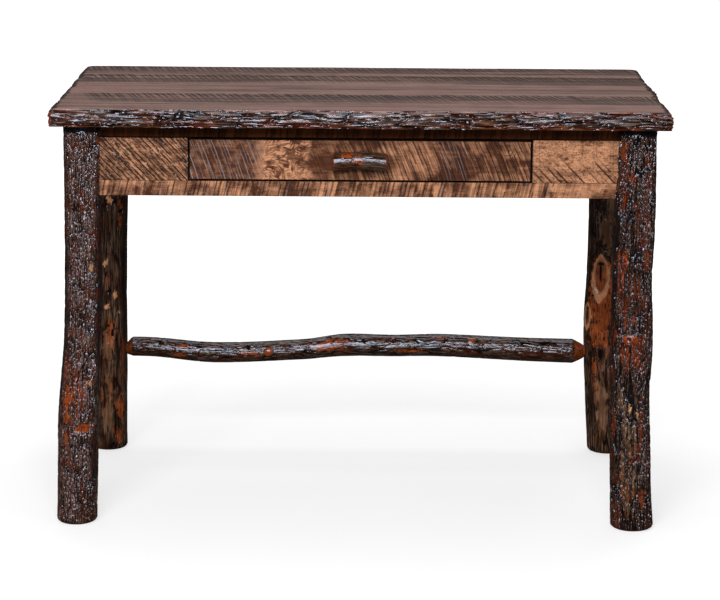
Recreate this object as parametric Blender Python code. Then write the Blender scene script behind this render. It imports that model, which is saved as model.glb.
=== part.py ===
"""Rustic log desk: four bark-on log legs, a plank top with bark edges, a rough-sawn apron,
one wooden drawer with a branch for a pull, and a log stretcher between the rear legs.

Units are metres. +Z is up, the drawer faces -Y, and the origin lies on the floor under the
middle of the top.
"""

import math

import bmesh
import bpy
from mathutils import Matrix, Vector

# Overall size
TOP_WIDTH = 1.090
TOP_DEPTH = 0.610
DESK_HEIGHT = 0.762
TOP_THICKNESS = 0.031
SEAT_GAP = 0.0003  # left between faces that touch

# Planks of the top, from front to back. The third board fills what is left.
FRONT_SLAB_DEPTH = 0.088
BOARD_1_DEPTH = 0.140
BOARD_2_DEPTH = 0.126
BACK_SLAB_DEPTH = 0.120
SIDE_STRIP_WIDTH = 0.032
BARK_BULGE = 0.006  # swell of a bark face past its two arrises
BARK_WANDER = 0.004  # how far a bark face strays inwards along its length
SLAB_END_ROUND = 0.006
BARK_STEP = 0.035  # between the sections along a bark edge
BARK_PROFILE_SHARES = ((1.0, 1.0), (0.25, 0.78), (0.0, 0.5), (0.25, 0.22), (1.0, 0.0))  # (bulge, height)
LONG_WAVES = 3  # along a bark edge
SHORT_WAVES = 7
SHORT_WAVE_SHARE = 0.6
WAVE_START = {"front": 0.4, "back": 2.1, "left": 2.0, "right": 4.0}  # radians

# Log legs
LEG_INSET = 0.055  # leg axis to the edge of the top, both ways
LEG_RADIUS = 0.034
LEG_SIDES = 20
LEG_RING_STEP = 0.045
FOOT_ROUND = 0.006
LOG_OVAL = 0.025  # share of the radius by which a log is out of round
LOG_TURN = 1.3  # turns the long way of each leg's oval, in radians per leg
FRONT_LEFT_SPLAY = -0.004  # front feet ahead of the leg tops
FRONT_RIGHT_SPLAY = 0.010

# Apron: face frame at the front, one board on each other side
BOTTOM_RAIL_HEIGHT = 0.027
DRAWER_OPENING_HEIGHT = 0.0765
TOP_RAIL_HEIGHT = 0.0245
APRON_THICKNESS = 0.022
APRON_PROUD = 0.005  # outer face outside the leg axes
TOP_RAIL_SETBACK = 0.008  # top rail behind the face of the panels
PANEL_LENGTH = 0.1626  # each block beside the drawer, housed end included

# Drawer
DRAWER_REVEAL = 0.0030
DRAWER_FRONT_THICKNESS = 0.020
DRAWER_SIDE_THICKNESS = 0.012
DRAWER_BACK_THICKNESS = 0.012
DRAWER_BACK_SETBACK = 0.014  # back board to the rear end of the sides
DRAWER_TOP_CLEARANCE = 0.003  # sides to kickers
DRAWER_BOTTOM_THICKNESS = 0.006
DRAWER_BOTTOM_RISE = 0.010
GROOVE_DEPTH = 0.005  # round the drawer bottom and the back board
RABBET_DEPTH = 0.012  # in the back of the drawer front

# Drawer runners, kickers and stops
RUNNER_BEARING = 0.024
RUNNER_THICKNESS = 0.018
GUIDE_THICKNESS = 0.020
GUIDE_HEIGHT = 0.030
KICKER_WIDTH = 0.034
STOP_LENGTH = 0.048
STOP_WIDTH = 0.018
STOP_HEIGHT = 0.028

# Branch pull
PULL_LENGTH = 0.099
PULL_RADIUS = 0.0145
PULL_STANDOFF = 0.012  # axis to the drawer face, so the back is planed flat
PULL_ARCH = 0.003
PULL_SIDES = 16
PULL_RINGS = 7
PULL_SCREW_SPACING = 0.056
PULL_SCREW_BITE = 0.012

# Stretcher between the rear legs
STRETCHER_HEIGHT = 0.203
STRETCHER_RADIUS = 0.0205
STRETCHER_SIDES = 16
STRETCHER_RING_STEP = 0.04
TENON_RADIUS = 0.011
TENON_DEPTH = 0.030  # past the bark of the leg
SHOULDER_LEFT = 0.012  # length of the cone that runs down to each tenon
SHOULDER_RIGHT = 0.024
PEG_RADIUS = 0.004
PEG_BEYOND = 0.006  # peg past the tenon

# Battens, corner blocks and fasteners
BATTEN_WIDTH = 0.045
BATTEN_THICKNESS = 0.020
BLOCK_LEG = 0.066  # corner block along each apron
BLOCK_HEIGHT = 0.066
BLOCK_DROP = 0.006  # corner block below the battens
BLOCK_CLEARANCE = 0.004  # corner block to the bark of the leg
BOLT_RADIUS = 0.0032
BOLT_MARGIN = 0.0017  # bolt to the ends of the aprons that it passes between
BOLT_START = 0.012  # inner end of a bolt from the leg axis
BOLT_PROUD = 0.004  # bolt past its nut
NUT_THICKNESS = 0.0065
NUT_RADIUS = 0.0075
NUT_SIDES = 6
SCREW_RADIUS = 0.0022
SCREW_HEAD_RADIUS = 0.0042
SCREW_HEAD_HEIGHT = 0.0026
TOP_SCREW_BITE = 0.016  # screw into the top
ROUND_SIDES = 12
CUT_MARGIN = 0.012  # how far a cutter runs past the face that it opens
SMOOTH_ANGLE = math.radians(40)  # sharper edges stay hard

# Each log as (share of its length, lean or rise, swell of the radius)
LEG_SHAPES = {
    "front_left": (
        (0.00, 0.0220, 0.0024), (0.12, 0.0190, 0.0024), (0.26, 0.0160, 0.0024),
        (0.36, 0.0115, 0.0006), (0.46, 0.0065, -0.0012), (0.60, 0.0025, -0.0008),
        (0.80, 0.0018, -0.0018), (1.00, 0.0000, -0.0016),
    ),
    "front_right": (
        (0.00, 0.0066, 0.0046), (0.11, 0.0028, 0.0032), (0.32, -0.0024, 0.0016),
        (0.43, -0.0018, 0.0036), (0.50, -0.0026, 0.0040), (0.62, -0.0044, 0.0018),
        (0.77, -0.0036, 0.0036), (0.88, -0.0014, 0.0004), (1.00, -0.0012, 0.0000),
    ),
    "rear_left": (
        (0.00, 0.0136, 0.0030), (0.27, 0.0120, 0.0030), (0.55, 0.0095, 0.0030),
        (0.70, 0.0064, 0.0030), (1.00, 0.0020, 0.0020),
    ),
    "rear_right": (
        (0.00, 0.0070, 0.0050), (0.14, 0.0010, 0.0052), (0.28, -0.0038, 0.0052),
        (0.37, -0.0064, 0.0052), (0.48, -0.0034, 0.0050), (0.70, -0.0018, 0.0050),
        (1.00, -0.0010, 0.0034),
    ),
}
FOOT_SPLAYS = {"front_left": FRONT_LEFT_SPLAY, "front_right": FRONT_RIGHT_SPLAY}
STRETCHER_SHAPE = (
    (0.00, 0.0035, -0.0010), (0.06, 0.0025, -0.0010), (0.19, -0.0076, 0.0000),
    (0.39, 0.0002, 0.0000), (0.47, 0.0090, 0.0020), (0.59, 0.0088, 0.0012),
    (0.68, 0.0104, 0.0020), (0.87, 0.0030, 0.0030), (1.00, 0.0000, 0.0040),
)
X_AXIS, Y_AXIS, Z_AXIS = Vector((1, 0, 0)), Vector((0, 1, 0)), Vector((0, 0, 1))
SIDES = {"left": -1, "right": 1}
ENDS = {"front": -1, "rear": 1}

# Levels and faces that several pieces share
LEG_LENGTH = DESK_HEIGHT - TOP_THICKNESS - SEAT_GAP
LEG_X = TOP_WIDTH / 2 - LEG_INSET
LEG_Y = TOP_DEPTH / 2 - LEG_INSET
APRON_BOTTOM = LEG_LENGTH - BOTTOM_RAIL_HEIGHT - DRAWER_OPENING_HEIGHT - TOP_RAIL_HEIGHT
OPENING_BOTTOM = APRON_BOTTOM + BOTTOM_RAIL_HEIGHT
OPENING_TOP = OPENING_BOTTOM + DRAWER_OPENING_HEIGHT
APRON_SETBACK = APRON_THICKNESS - APRON_PROUD  # inner faces from the leg axes
HOUSING_REACH = APRON_SETBACK + math.sqrt(2) * (BOLT_RADIUS + BOLT_MARGIN)  # apron ends from the leg axes
APRON_HALF_LENGTH = LEG_X - HOUSING_REACH
APRON_HALF_DEPTH = LEG_Y - HOUSING_REACH
OPENING_HALF = APRON_HALF_LENGTH - PANEL_LENGTH
FRAME_FRONT = -LEG_Y - APRON_PROUD
REAR_APRON_FRONT = LEG_Y - APRON_SETBACK
FRAME_BACK = -REAR_APRON_FRONT
SIDE_APRON_INNER = LEG_X - APRON_SETBACK
DRAWER_HALF = OPENING_HALF - DRAWER_REVEAL
DRAWER_REAR = REAR_APRON_FRONT - SEAT_GAP - STOP_LENGTH - SEAT_GAP
DRAWER_SIDE_BOTTOM = OPENING_BOTTOM + SEAT_GAP
DRAWER_SIDE_TOP = OPENING_TOP - DRAWER_TOP_CLEARANCE
BATTEN_BOTTOM = LEG_LENGTH - BATTEN_THICKNESS
BLOCK_TOP = BATTEN_BOTTOM - BLOCK_DROP
BATTEN_X = (OPENING_HALF + GUIDE_THICKNESS + SIDE_APRON_INNER) / 2
KICKER_X = OPENING_HALF - KICKER_WIDTH / 2
BOARDS_FRONT = -TOP_DEPTH / 2 + FRONT_SLAB_DEPTH + SEAT_GAP
BOARDS_BACK = TOP_DEPTH / 2 - BACK_SLAB_DEPTH - SEAT_GAP
BOARD_JOINTS = (
    BOARDS_FRONT,
    BOARDS_FRONT + BOARD_1_DEPTH,
    BOARDS_FRONT + BOARD_1_DEPTH + BOARD_2_DEPTH,
    BOARDS_BACK,
)


# Finishes

def finish(name, colour, roughness, metallic=0.0):
    """A plain surface: a Principled BSDF with this colour, roughness and metallic value."""
    made = bpy.data.materials.new(name)
    made.use_nodes = True
    shader = made.node_tree.nodes["Principled BSDF"]
    shader.inputs["Base Color"].default_value = (*colour, 1.0)
    shader.inputs["Roughness"].default_value = roughness
    shader.inputs["Metallic"].default_value = metallic
    return made


def make_finishes():
    return {
        "bark": finish("log_bark", (0.065, 0.042, 0.033), 0.45),
        "bark_edge": finish("edge_bark", (0.085, 0.062, 0.055), 0.42),
        "top": finish("top_plank", (0.125, 0.072, 0.055), 0.5),
        "sawn": finish("sawn_maple", (0.235, 0.105, 0.050), 0.5),
        "plain": finish("plain_maple", (0.480, 0.310, 0.170), 0.6),
        "peeled": finish("peeled_wood", (0.220, 0.080, 0.030), 0.45),
        "steel": finish("zinc_steel", (0.560, 0.560, 0.550), 0.35, 1.0),
    }


# Shapes

def add_object(name, bm, origin, surface=None, parent=None):
    """Link a bmesh that was modelled around its own origin, and place it at a world point."""
    mesh = bpy.data.meshes.new(name)
    bmesh.ops.recalc_face_normals(bm, faces=bm.faces)
    bm.to_mesh(mesh)
    bm.free()
    obj = bpy.data.objects.new(name, mesh)
    bpy.context.scene.collection.objects.link(obj)
    obj.location = Vector(origin) - (parent.location if parent else Vector())
    obj.parent = parent
    if surface:
        mesh.materials.append(surface)
    else:
        obj.hide_render = True
        obj.display_type = "WIRE"
    return obj


def smooth(obj):
    """Shade a round piece smooth, with its hard edges kept sharp."""
    obj.data.shade_smooth()
    obj.data.set_sharp_from_angle(angle=SMOOTH_ANGLE)
    return obj


def box(name, low, high, surface=None, parent=None):
    """A rectangular block between two world corners."""
    low, high = Vector(low), Vector(high)
    bm = bmesh.new()
    bmesh.ops.create_cube(bm, size=1.0, matrix=Matrix.Diagonal((*(high - low), 1.0)))
    return add_object(name, bm, (low + high) / 2, surface, parent)


def rod(name, start, end, radius, surface=None, parent=None, sides=ROUND_SIDES):
    """A straight round or many-sided bar between two world points."""
    start, end = Vector(start), Vector(end)
    bm = bmesh.new()
    bmesh.ops.create_cone(bm, cap_ends=True, segments=sides, radius1=radius, radius2=radius,
                          depth=(end - start).length)
    obj = add_object(name, bm, (start + end) / 2, surface, parent)
    obj.rotation_euler = (end - start).to_track_quat("Z", "Y").to_euler()
    return smooth(obj)


def skin(rings):
    """A bmesh over a row of closed rings of points, capped at both ends."""
    bm = bmesh.new()
    loops = []
    for points in rings:
        verts = [bm.verts.new(point) for point in points]
        loops.append([bm.edges.new((a, b)) for a, b in zip(verts, verts[1:] + verts[:1])])
    for lower, upper in zip(loops, loops[1:]):
        bmesh.ops.bridge_loops(bm, edges=lower + upper)
    for end in (loops[0], loops[-1]):
        bmesh.ops.contextual_create(bm, geom=end)
    return bm


def ring(centre, across, up, radius, sides, phase=0.0, oval=0.0):
    """A closed ring of points, round or slightly oval, in the plane of two directions."""
    points = []
    for i in range(sides):
        angle = 2 * math.pi * i / sides
        reach = radius * (1 + oval * math.sin(2 * angle + phase))
        points.append(Vector(centre) + reach * (math.cos(angle) * across + math.sin(angle) * up))
    return points


def screw(name, seat, direction, length, surface, parent=None):
    """A pan-head screw: its head lies behind the seat, and its shank runs along the direction."""
    profile = ((SCREW_HEAD_RADIUS, -SCREW_HEAD_HEIGHT), (SCREW_HEAD_RADIUS, 0.0),
               (SCREW_RADIUS, 0.0), (SCREW_RADIUS, length))
    rings = [ring((0, 0, height), X_AXIS, Y_AXIS, radius, ROUND_SIDES) for radius, height in profile]
    obj = add_object(name, skin(rings), seat, surface, parent)
    obj.rotation_euler = Vector(direction).to_track_quat("Z", "Y").to_euler()
    return smooth(obj)


def prism(name, outline, bottom, top, surface):
    """A plan outline of world points, extruded from one level up to another."""
    bm = bmesh.new()
    face = bm.faces.new([bm.verts.new((x, y, 0.0)) for x, y in outline])
    made = bmesh.ops.extrude_face_region(bm, geom=[face])["geom"]
    top_verts = [g for g in made if isinstance(g, bmesh.types.BMVert)]
    bmesh.ops.translate(bm, verts=top_verts, vec=(0, 0, top - bottom))
    return add_object(name, bm, (0, 0, bottom), surface)


def cut(target, *cutters):
    """Take the cutters out of the target."""
    for cutter in cutters:
        modifier = target.modifiers.new(f"cut_{cutter.name}", "BOOLEAN")
        modifier.operation = "DIFFERENCE"
        modifier.solver = "EXACT"
        modifier.object = cutter


def hole(target_names, name, start, end, radius, parent=None):
    """Drill a clearance hole for a rod of this radius through every target."""
    drill = rod(name, start, end, radius + SEAT_GAP, parent=parent)
    for target in target_names:
        cut(bpy.data.objects[target], drill)


def shape_at(stations, share):
    """(lean or rise, swell) of a log at a share of its length, on a smooth curve."""
    last = len(stations) - 1
    i = max(k for k in range(last) if stations[k][0] <= share or k == 0)
    before, start, end, after = (stations[min(max(k, 0), last)] for k in range(i - 1, i + 3))
    span = end[0] - start[0]
    t = (share - start[0]) / span
    values = []
    for column in (1, 2):
        slope_in = (end[column] - before[column]) / (end[0] - before[0]) * span
        slope_out = (after[column] - start[column]) / (after[0] - start[0]) * span
        values.append(
            (2 * t**3 - 3 * t**2 + 1) * start[column] + (t**3 - 2 * t**2 + t) * slope_in
            + (3 * t**2 - 2 * t**3) * end[column] + (t**3 - t**2) * slope_out
        )
    return values


# Legs and stretcher

def leg_axis(key, height):
    """(x, y) of a leg's axis and its radius at a height above the floor."""
    end, side = key.split("_")
    share = height / LEG_LENGTH
    lean, swell = shape_at(LEG_SHAPES[key], share)
    splay = FOOT_SPLAYS.get(key, 0.0) * (1 - share)
    return SIDES[side] * (LEG_X + lean), ENDS[end] * (LEG_Y + splay), LEG_RADIUS + swell


def make_leg(key, phase, surface):
    """A bark-on log from the floor to the underside of the top, with a rounded foot."""
    foot_x, foot_y, _ = leg_axis(key, 0.0)
    steps = math.ceil((LEG_LENGTH - FOOT_ROUND) / LEG_RING_STEP)
    heights = [FOOT_ROUND + (LEG_LENGTH - FOOT_ROUND) * i / steps for i in range(steps + 1)]
    rings = []
    for height in [0.0, *heights]:
        x, y, radius = leg_axis(key, height)
        centre = Vector((x - foot_x, y - foot_y, height))
        reach = radius if height else radius - FOOT_ROUND
        rings.append(ring(centre, X_AXIS, Y_AXIS, reach, LEG_SIDES, phase, LOG_OVAL))
    return smooth(add_object(f"leg_{key}", skin(rings), (foot_x, foot_y, 0.0), surface))


def make_legs(surfaces):
    for i, key in enumerate(LEG_SHAPES):
        make_leg(key, LOG_TURN * i, surfaces["bark"])


def stretcher_ends():
    """(x of the left leg's bark, x of the right leg's bark) at the stretcher's height."""
    left_x, _, left_radius = leg_axis("rear_left", STRETCHER_HEIGHT)
    right_x, _, right_radius = leg_axis("rear_right", STRETCHER_HEIGHT)
    return left_x + left_radius, right_x - right_radius


def make_stretcher(surfaces):
    """A log between the rear legs, with coned shoulders and round tenons that are pegged."""
    left, right = stretcher_ends()
    start, end = left + SHOULDER_LEFT, right - SHOULDER_RIGHT
    steps = math.ceil((end - start) / STRETCHER_RING_STEP)
    body = [start + (end - start) * i / steps for i in range(steps + 1)]

    def tenon_ring(x):
        return ring((x, 0, 0), Y_AXIS, Z_AXIS, TENON_RADIUS, STRETCHER_SIDES)

    rings = [tenon_ring(left - TENON_DEPTH), tenon_ring(left + SEAT_GAP)]
    for x in body:
        rise, swell = shape_at(STRETCHER_SHAPE, (x - left) / (right - left))
        radius = STRETCHER_RADIUS + swell
        rings.append(ring((x, 0, rise), Y_AXIS, Z_AXIS, radius, STRETCHER_SIDES, oval=LOG_OVAL))
    rings += [tenon_ring(right - SEAT_GAP), tenon_ring(right + TENON_DEPTH)]
    smooth(add_object("rear_stretcher", skin(rings), (0, LEG_Y, STRETCHER_HEIGHT), surfaces["bark"]))
    for side, bark_x in (("left", left), ("right", right)):
        drill_stretcher_joint(side, bark_x, surfaces)


def drill_stretcher_joint(side, bark_x, surfaces):
    """Mortise a rear leg for the stretcher's tenon, and peg the tenon from behind."""
    leg = f"leg_rear_{side}"
    out = SIDES[side]
    mouth = (bark_x - out * CUT_MARGIN, LEG_Y, STRETCHER_HEIGHT)
    floor = (bark_x + out * (TENON_DEPTH + SEAT_GAP), LEG_Y, STRETCHER_HEIGHT)
    mortise = rod(f"{leg}_mortise", mouth, floor, TENON_RADIUS + SEAT_GAP, sides=2 * STRETCHER_SIDES)
    cut(bpy.data.objects[leg], mortise)
    axis_x, _, radius = leg_axis(f"rear_{side}", STRETCHER_HEIGHT)
    peg_x = bark_x + out * TENON_DEPTH / 2
    bark_y = LEG_Y + math.sqrt((radius * (1 - LOG_OVAL)) ** 2 - (peg_x - axis_x) ** 2)
    tip_y = LEG_Y - TENON_RADIUS - PEG_BEYOND
    tip, head = (peg_x, tip_y, STRETCHER_HEIGHT), (peg_x, bark_y, STRETCHER_HEIGHT)
    rod(f"stretcher_peg_{side}", tip, head, PEG_RADIUS, surfaces["peeled"])
    drill_start = (peg_x, tip_y - SEAT_GAP, STRETCHER_HEIGHT)
    drill_end = (peg_x, bark_y + CUT_MARGIN, STRETCHER_HEIGHT)
    hole([leg, "rear_stretcher"], f"{leg}_peg_hole", drill_start, drill_end, PEG_RADIUS)


# Apron

def make_apron(surfaces):
    """Face frame, rear apron and side aprons, let into pockets in the legs."""
    sawn = surfaces["sawn"]
    half = APRON_HALF_LENGTH
    box("front_bottom_rail", (-half, FRAME_FRONT, APRON_BOTTOM),
        (half, FRAME_BACK, OPENING_BOTTOM), sawn)
    box("front_top_rail", (-half, FRAME_FRONT + TOP_RAIL_SETBACK, OPENING_TOP),
        (half, FRAME_BACK, LEG_LENGTH), sawn)
    for side, out in SIDES.items():
        inner, outer = sorted((out * OPENING_HALF, out * half))
        box(f"front_{side}_panel", (inner, FRAME_FRONT, OPENING_BOTTOM + SEAT_GAP),
            (outer, FRAME_BACK, OPENING_TOP - SEAT_GAP), sawn)
        inner, outer = sorted((out * SIDE_APRON_INNER, out * (LEG_X + APRON_PROUD)))
        box(f"{side}_apron", (inner, -APRON_HALF_DEPTH, APRON_BOTTOM),
            (outer, APRON_HALF_DEPTH, LEG_LENGTH), sawn)
    box("rear_apron", (-half, REAR_APRON_FRONT, APRON_BOTTOM),
        (half, LEG_Y + APRON_PROUD, LEG_LENGTH), sawn)
    house_aprons()


def pocket(name, low, high, open_top=True):
    """A cutter round a board: its box grown by the seat gap, and run out past the leg top."""
    low, high = Vector(low), Vector(high)
    margin = Vector((SEAT_GAP, SEAT_GAP, SEAT_GAP))
    rise = Z_AXIS * (CUT_MARGIN if open_top else 0.0)
    return box(name, low - margin, high + margin + rise)


def house_aprons():
    """Cut each leg to take the ends of the aprons that meet at it."""
    half, depth = APRON_HALF_LENGTH, APRON_HALF_DEPTH
    across = {
        "front": (
            pocket("front_pocket", (-half, FRAME_FRONT, APRON_BOTTOM),
                   (half, FRAME_BACK, OPENING_TOP), open_top=False),
            pocket("top_rail_pocket", (-half, FRAME_FRONT + TOP_RAIL_SETBACK, OPENING_TOP),
                   (half, FRAME_BACK, LEG_LENGTH)),
        ),
        "rear": (
            pocket("rear_pocket", (-half, REAR_APRON_FRONT, APRON_BOTTOM),
                   (half, LEG_Y + APRON_PROUD, LEG_LENGTH)),
        ),
    }
    for side, out in SIDES.items():
        inner, outer = sorted((out * SIDE_APRON_INNER, out * (LEG_X + APRON_PROUD)))
        along = pocket(f"{side}_pocket", (inner, -depth, APRON_BOTTOM), (outer, depth, LEG_LENGTH))
        for end in ENDS:
            cut(bpy.data.objects[f"leg_{end}_{side}"], along, *across[end])


# Top

def bark_wander(count, phase):
    """How far a bark face lies inside its nominal line at each section. The least is zero."""
    strays = []
    for i in range(count):
        turn = 2 * math.pi * i / count
        short = math.sin(SHORT_WAVES * turn + 2 * phase)
        strays.append(math.sin(LONG_WAVES * turn + phase) + SHORT_WAVE_SHARE * short)
    least, most = min(strays), max(strays)
    return [BARK_WANDER * (stray - least) / (most - least) for stray in strays]


def bark_plank(name, start, end, face, depth, inwards, phase, end_round, surface):
    """A plank with one bark edge, lofted along that edge.

    start and end are the ends of the edge's nominal line in plan, face is the distance of that
    line from the origin, and inwards is the plan direction from the bark to the middle.
    """
    inwards = Vector((*inwards, 0.0))
    along = Vector((abs(inwards.y), abs(inwards.x), 0.0))
    count = math.ceil((end - start) / BARK_STEP) + 1
    sections = [(start + (end - start) * i / (count - 1), stray)
                for i, stray in enumerate(bark_wander(count, phase))]
    if end_round:
        first, last = sections[0][1], sections[-1][1]
        sections[0] = (start + end_round, first)
        sections[-1] = (end - end_round, last)
        sections.insert(0, (start, first + end_round))
        sections.append((end, last + end_round))
    rings = []
    for place, stray in sections:
        base = along * place - inwards * face
        points = [base + inwards * (stray + BARK_BULGE * swell) + Z_AXIS * TOP_THICKNESS * rise
                  for swell, rise in BARK_PROFILE_SHARES]
        points.append(base + inwards * depth)
        points.append(base + inwards * depth + Z_AXIS * TOP_THICKNESS)
        rings.append(points)
    return smooth(add_object(name, skin(rings), (0, 0, DESK_HEIGHT - TOP_THICKNESS), surface))


def make_top(surfaces):
    """Front and back slabs with bark edges, three boards between, and bark strips on the ends."""
    half_width, half_depth = TOP_WIDTH / 2, TOP_DEPTH / 2
    bark_plank("top_front_slab", -half_width, half_width, half_depth, FRONT_SLAB_DEPTH,
               (0, 1), WAVE_START["front"], SLAB_END_ROUND, surfaces["bark_edge"])
    bark_plank("top_back_slab", -half_width, half_width, half_depth, BACK_SLAB_DEPTH,
               (0, -1), WAVE_START["back"], SLAB_END_ROUND, surfaces["bark_edge"])
    for side, out in SIDES.items():
        bark_plank(f"top_{side}_strip", BOARDS_FRONT, BOARDS_BACK, half_width, SIDE_STRIP_WIDTH,
                   (-out, 0), WAVE_START[side], 0.0, surfaces["bark_edge"])
    reach = half_width - SIDE_STRIP_WIDTH - SEAT_GAP
    for i, (near, far) in enumerate(zip(BOARD_JOINTS, BOARD_JOINTS[1:])):
        gap = SEAT_GAP if i else 0.0
        box(f"top_board_{i + 1}", (-reach, near + gap, DESK_HEIGHT - TOP_THICKNESS),
            (reach, far, DESK_HEIGHT), surfaces["top"])


# Drawer

def make_runners(surfaces):
    """L-shaped runners, kickers over the drawer sides, and stops behind them."""
    plain = surfaces["plain"]
    near, far = FRAME_BACK + SEAT_GAP, REAR_APRON_FRONT - SEAT_GAP
    for side, out in SIDES.items():
        guide = OPENING_HALF
        outline = (
            (guide - RUNNER_BEARING, OPENING_BOTTOM - RUNNER_THICKNESS),
            (guide + GUIDE_THICKNESS, OPENING_BOTTOM - RUNNER_THICKNESS),
            (guide + GUIDE_THICKNESS, OPENING_BOTTOM + GUIDE_HEIGHT),
            (guide, OPENING_BOTTOM + GUIDE_HEIGHT),
            (guide, OPENING_BOTTOM),
            (guide - RUNNER_BEARING, OPENING_BOTTOM),
        )
        rings = [[Vector((out * x, y, z)) for x, z in outline] for y in (near, far)]
        add_object(f"drawer_runner_{side}", skin(rings), (0, 0, 0), plain)
        inner, outer = sorted((out * (KICKER_X - KICKER_WIDTH / 2), out * (KICKER_X + KICKER_WIDTH / 2)))
        box(f"drawer_kicker_{side}", (inner, near, OPENING_TOP), (outer, far, LEG_LENGTH), plain)
        inner, outer = sorted((out * (DRAWER_HALF - STOP_WIDTH), out * DRAWER_HALF))
        box(f"drawer_stop_{side}", (inner, far - STOP_LENGTH, OPENING_BOTTOM + SEAT_GAP),
            (outer, far, OPENING_BOTTOM + SEAT_GAP + STOP_HEIGHT), plain)


def make_drawer(surfaces):
    """Rabbeted front, grooved sides, back and bottom, all on an empty that slides along -Y."""
    slide = bpy.data.objects.new("drawer_slide", None)
    slide.location = (0, FRAME_FRONT, (OPENING_BOTTOM + OPENING_TOP) / 2)
    bpy.context.scene.collection.objects.link(slide)
    inner = DRAWER_HALF - DRAWER_SIDE_THICKNESS
    seat = FRAME_FRONT + DRAWER_FRONT_THICKNESS - RABBET_DEPTH
    floor = DRAWER_SIDE_BOTTOM + DRAWER_BOTTOM_RISE
    front = box("drawer_front", (-DRAWER_HALF, FRAME_FRONT, OPENING_BOTTOM + DRAWER_REVEAL),
                (DRAWER_HALF, FRAME_FRONT + DRAWER_FRONT_THICKNESS, OPENING_TOP - DRAWER_REVEAL),
                surfaces["sawn"], slide)
    back_far = DRAWER_REAR - DRAWER_BACK_SETBACK
    back_near = back_far - DRAWER_BACK_THICKNESS
    reach = inner + GROOVE_DEPTH - SEAT_GAP
    back_low = floor + DRAWER_BOTTOM_THICKNESS + SEAT_GAP
    bottom_near = FRAME_FRONT + DRAWER_FRONT_THICKNESS - GROOVE_DEPTH + SEAT_GAP
    plain = surfaces["plain"]
    box("drawer_back", (-reach, back_near, back_low), (reach, back_far, DRAWER_SIDE_TOP),
        plain, slide)
    box("drawer_bottom", (-reach, bottom_near, floor),
        (reach, DRAWER_REAR, floor + DRAWER_BOTTOM_THICKNESS), plain, slide)
    margin = Vector((SEAT_GAP, SEAT_GAP, SEAT_GAP))
    groove = box("drawer_bottom_groove", Vector((-reach, bottom_near, floor)) - margin,
                 Vector((reach, DRAWER_REAR + CUT_MARGIN, floor + DRAWER_BOTTOM_THICKNESS)) + margin,
                 parent=slide)
    dado = box("drawer_back_dado", Vector((-reach, back_near, back_low)) - margin,
               Vector((reach, back_far, DRAWER_SIDE_TOP + CUT_MARGIN)) + margin, parent=slide)
    cut(front, groove)
    for side, out in SIDES.items():
        low, high = sorted((out * inner, out * DRAWER_HALF))
        board = box(f"drawer_side_{side}", (low, seat + SEAT_GAP, DRAWER_SIDE_BOTTOM),
                    (high, DRAWER_REAR, DRAWER_SIDE_TOP), plain, slide)
        cut(board, groove, dado)
        low, high = sorted((out * (inner - SEAT_GAP), out * (DRAWER_HALF + CUT_MARGIN)))
        rabbet = box(f"drawer_rabbet_{side}", (low, seat, OPENING_BOTTOM - CUT_MARGIN),
                     (high, seat + RABBET_DEPTH + CUT_MARGIN, OPENING_TOP + CUT_MARGIN), parent=slide)
        cut(front, rabbet)
    make_pull(slide, surfaces)


def make_pull(slide, surfaces):
    """A short arched branch, planed flat where it meets the drawer, held by two screws."""
    level = (OPENING_BOTTOM + OPENING_TOP) / 2
    rings = []
    for i in range(PULL_RINGS):
        share = 2 * i / (PULL_RINGS - 1) - 1
        centre = (share * PULL_LENGTH / 2, 0, PULL_ARCH * (0.5 - share**2))
        rings.append(ring(centre, Y_AXIS, Z_AXIS, PULL_RADIUS, PULL_SIDES, oval=LOG_OVAL))
    axis_y = FRAME_FRONT - PULL_STANDOFF
    pull = smooth(add_object("drawer_pull", skin(rings), (0, axis_y, level), surfaces["bark"], slide))
    reach = 2 * PULL_RADIUS + PULL_ARCH
    planed = box("drawer_pull_flat", (-PULL_LENGTH, FRAME_FRONT - SEAT_GAP, level - reach),
                 (PULL_LENGTH, FRAME_FRONT + reach, level + reach), parent=slide)
    cut(pull, planed)
    seat_y = FRAME_FRONT + DRAWER_FRONT_THICKNESS + SEAT_GAP
    tip_y = FRAME_FRONT - PULL_SCREW_BITE
    for i, out in enumerate((-1, 1)):
        x = out * PULL_SCREW_SPACING / 2
        screw(f"pull_screw_{i + 1}", (x, seat_y, level), (0, -1, 0), seat_y - tip_y,
              surfaces["steel"], slide)
        hole(["drawer_front", "drawer_pull"], f"pull_screw_hole_{i + 1}",
             (x, seat_y + CUT_MARGIN, level), (x, tip_y - SEAT_GAP, level), SCREW_RADIUS, slide)


# Battens, corner blocks and fasteners

def make_battens(surfaces):
    """Battens under the top, and the screws that hold battens and kickers up to it."""
    near, far = FRAME_BACK + SEAT_GAP, REAR_APRON_FRONT - SEAT_GAP
    for side, out in SIDES.items():
        low, high = sorted((out * (BATTEN_X - BATTEN_WIDTH / 2), out * (BATTEN_X + BATTEN_WIDTH / 2)))
        box(f"top_batten_{side}", (low, near, BATTEN_BOTTOM), (high, far, LEG_LENGTH), surfaces["plain"])
        for bar, x, under in ((f"top_batten_{side}", out * BATTEN_X, BATTEN_BOTTOM),
                              (f"drawer_kicker_{side}", out * KICKER_X, OPENING_TOP)):
            fasten_to_top(bar, x, under, surfaces["steel"])


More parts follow.
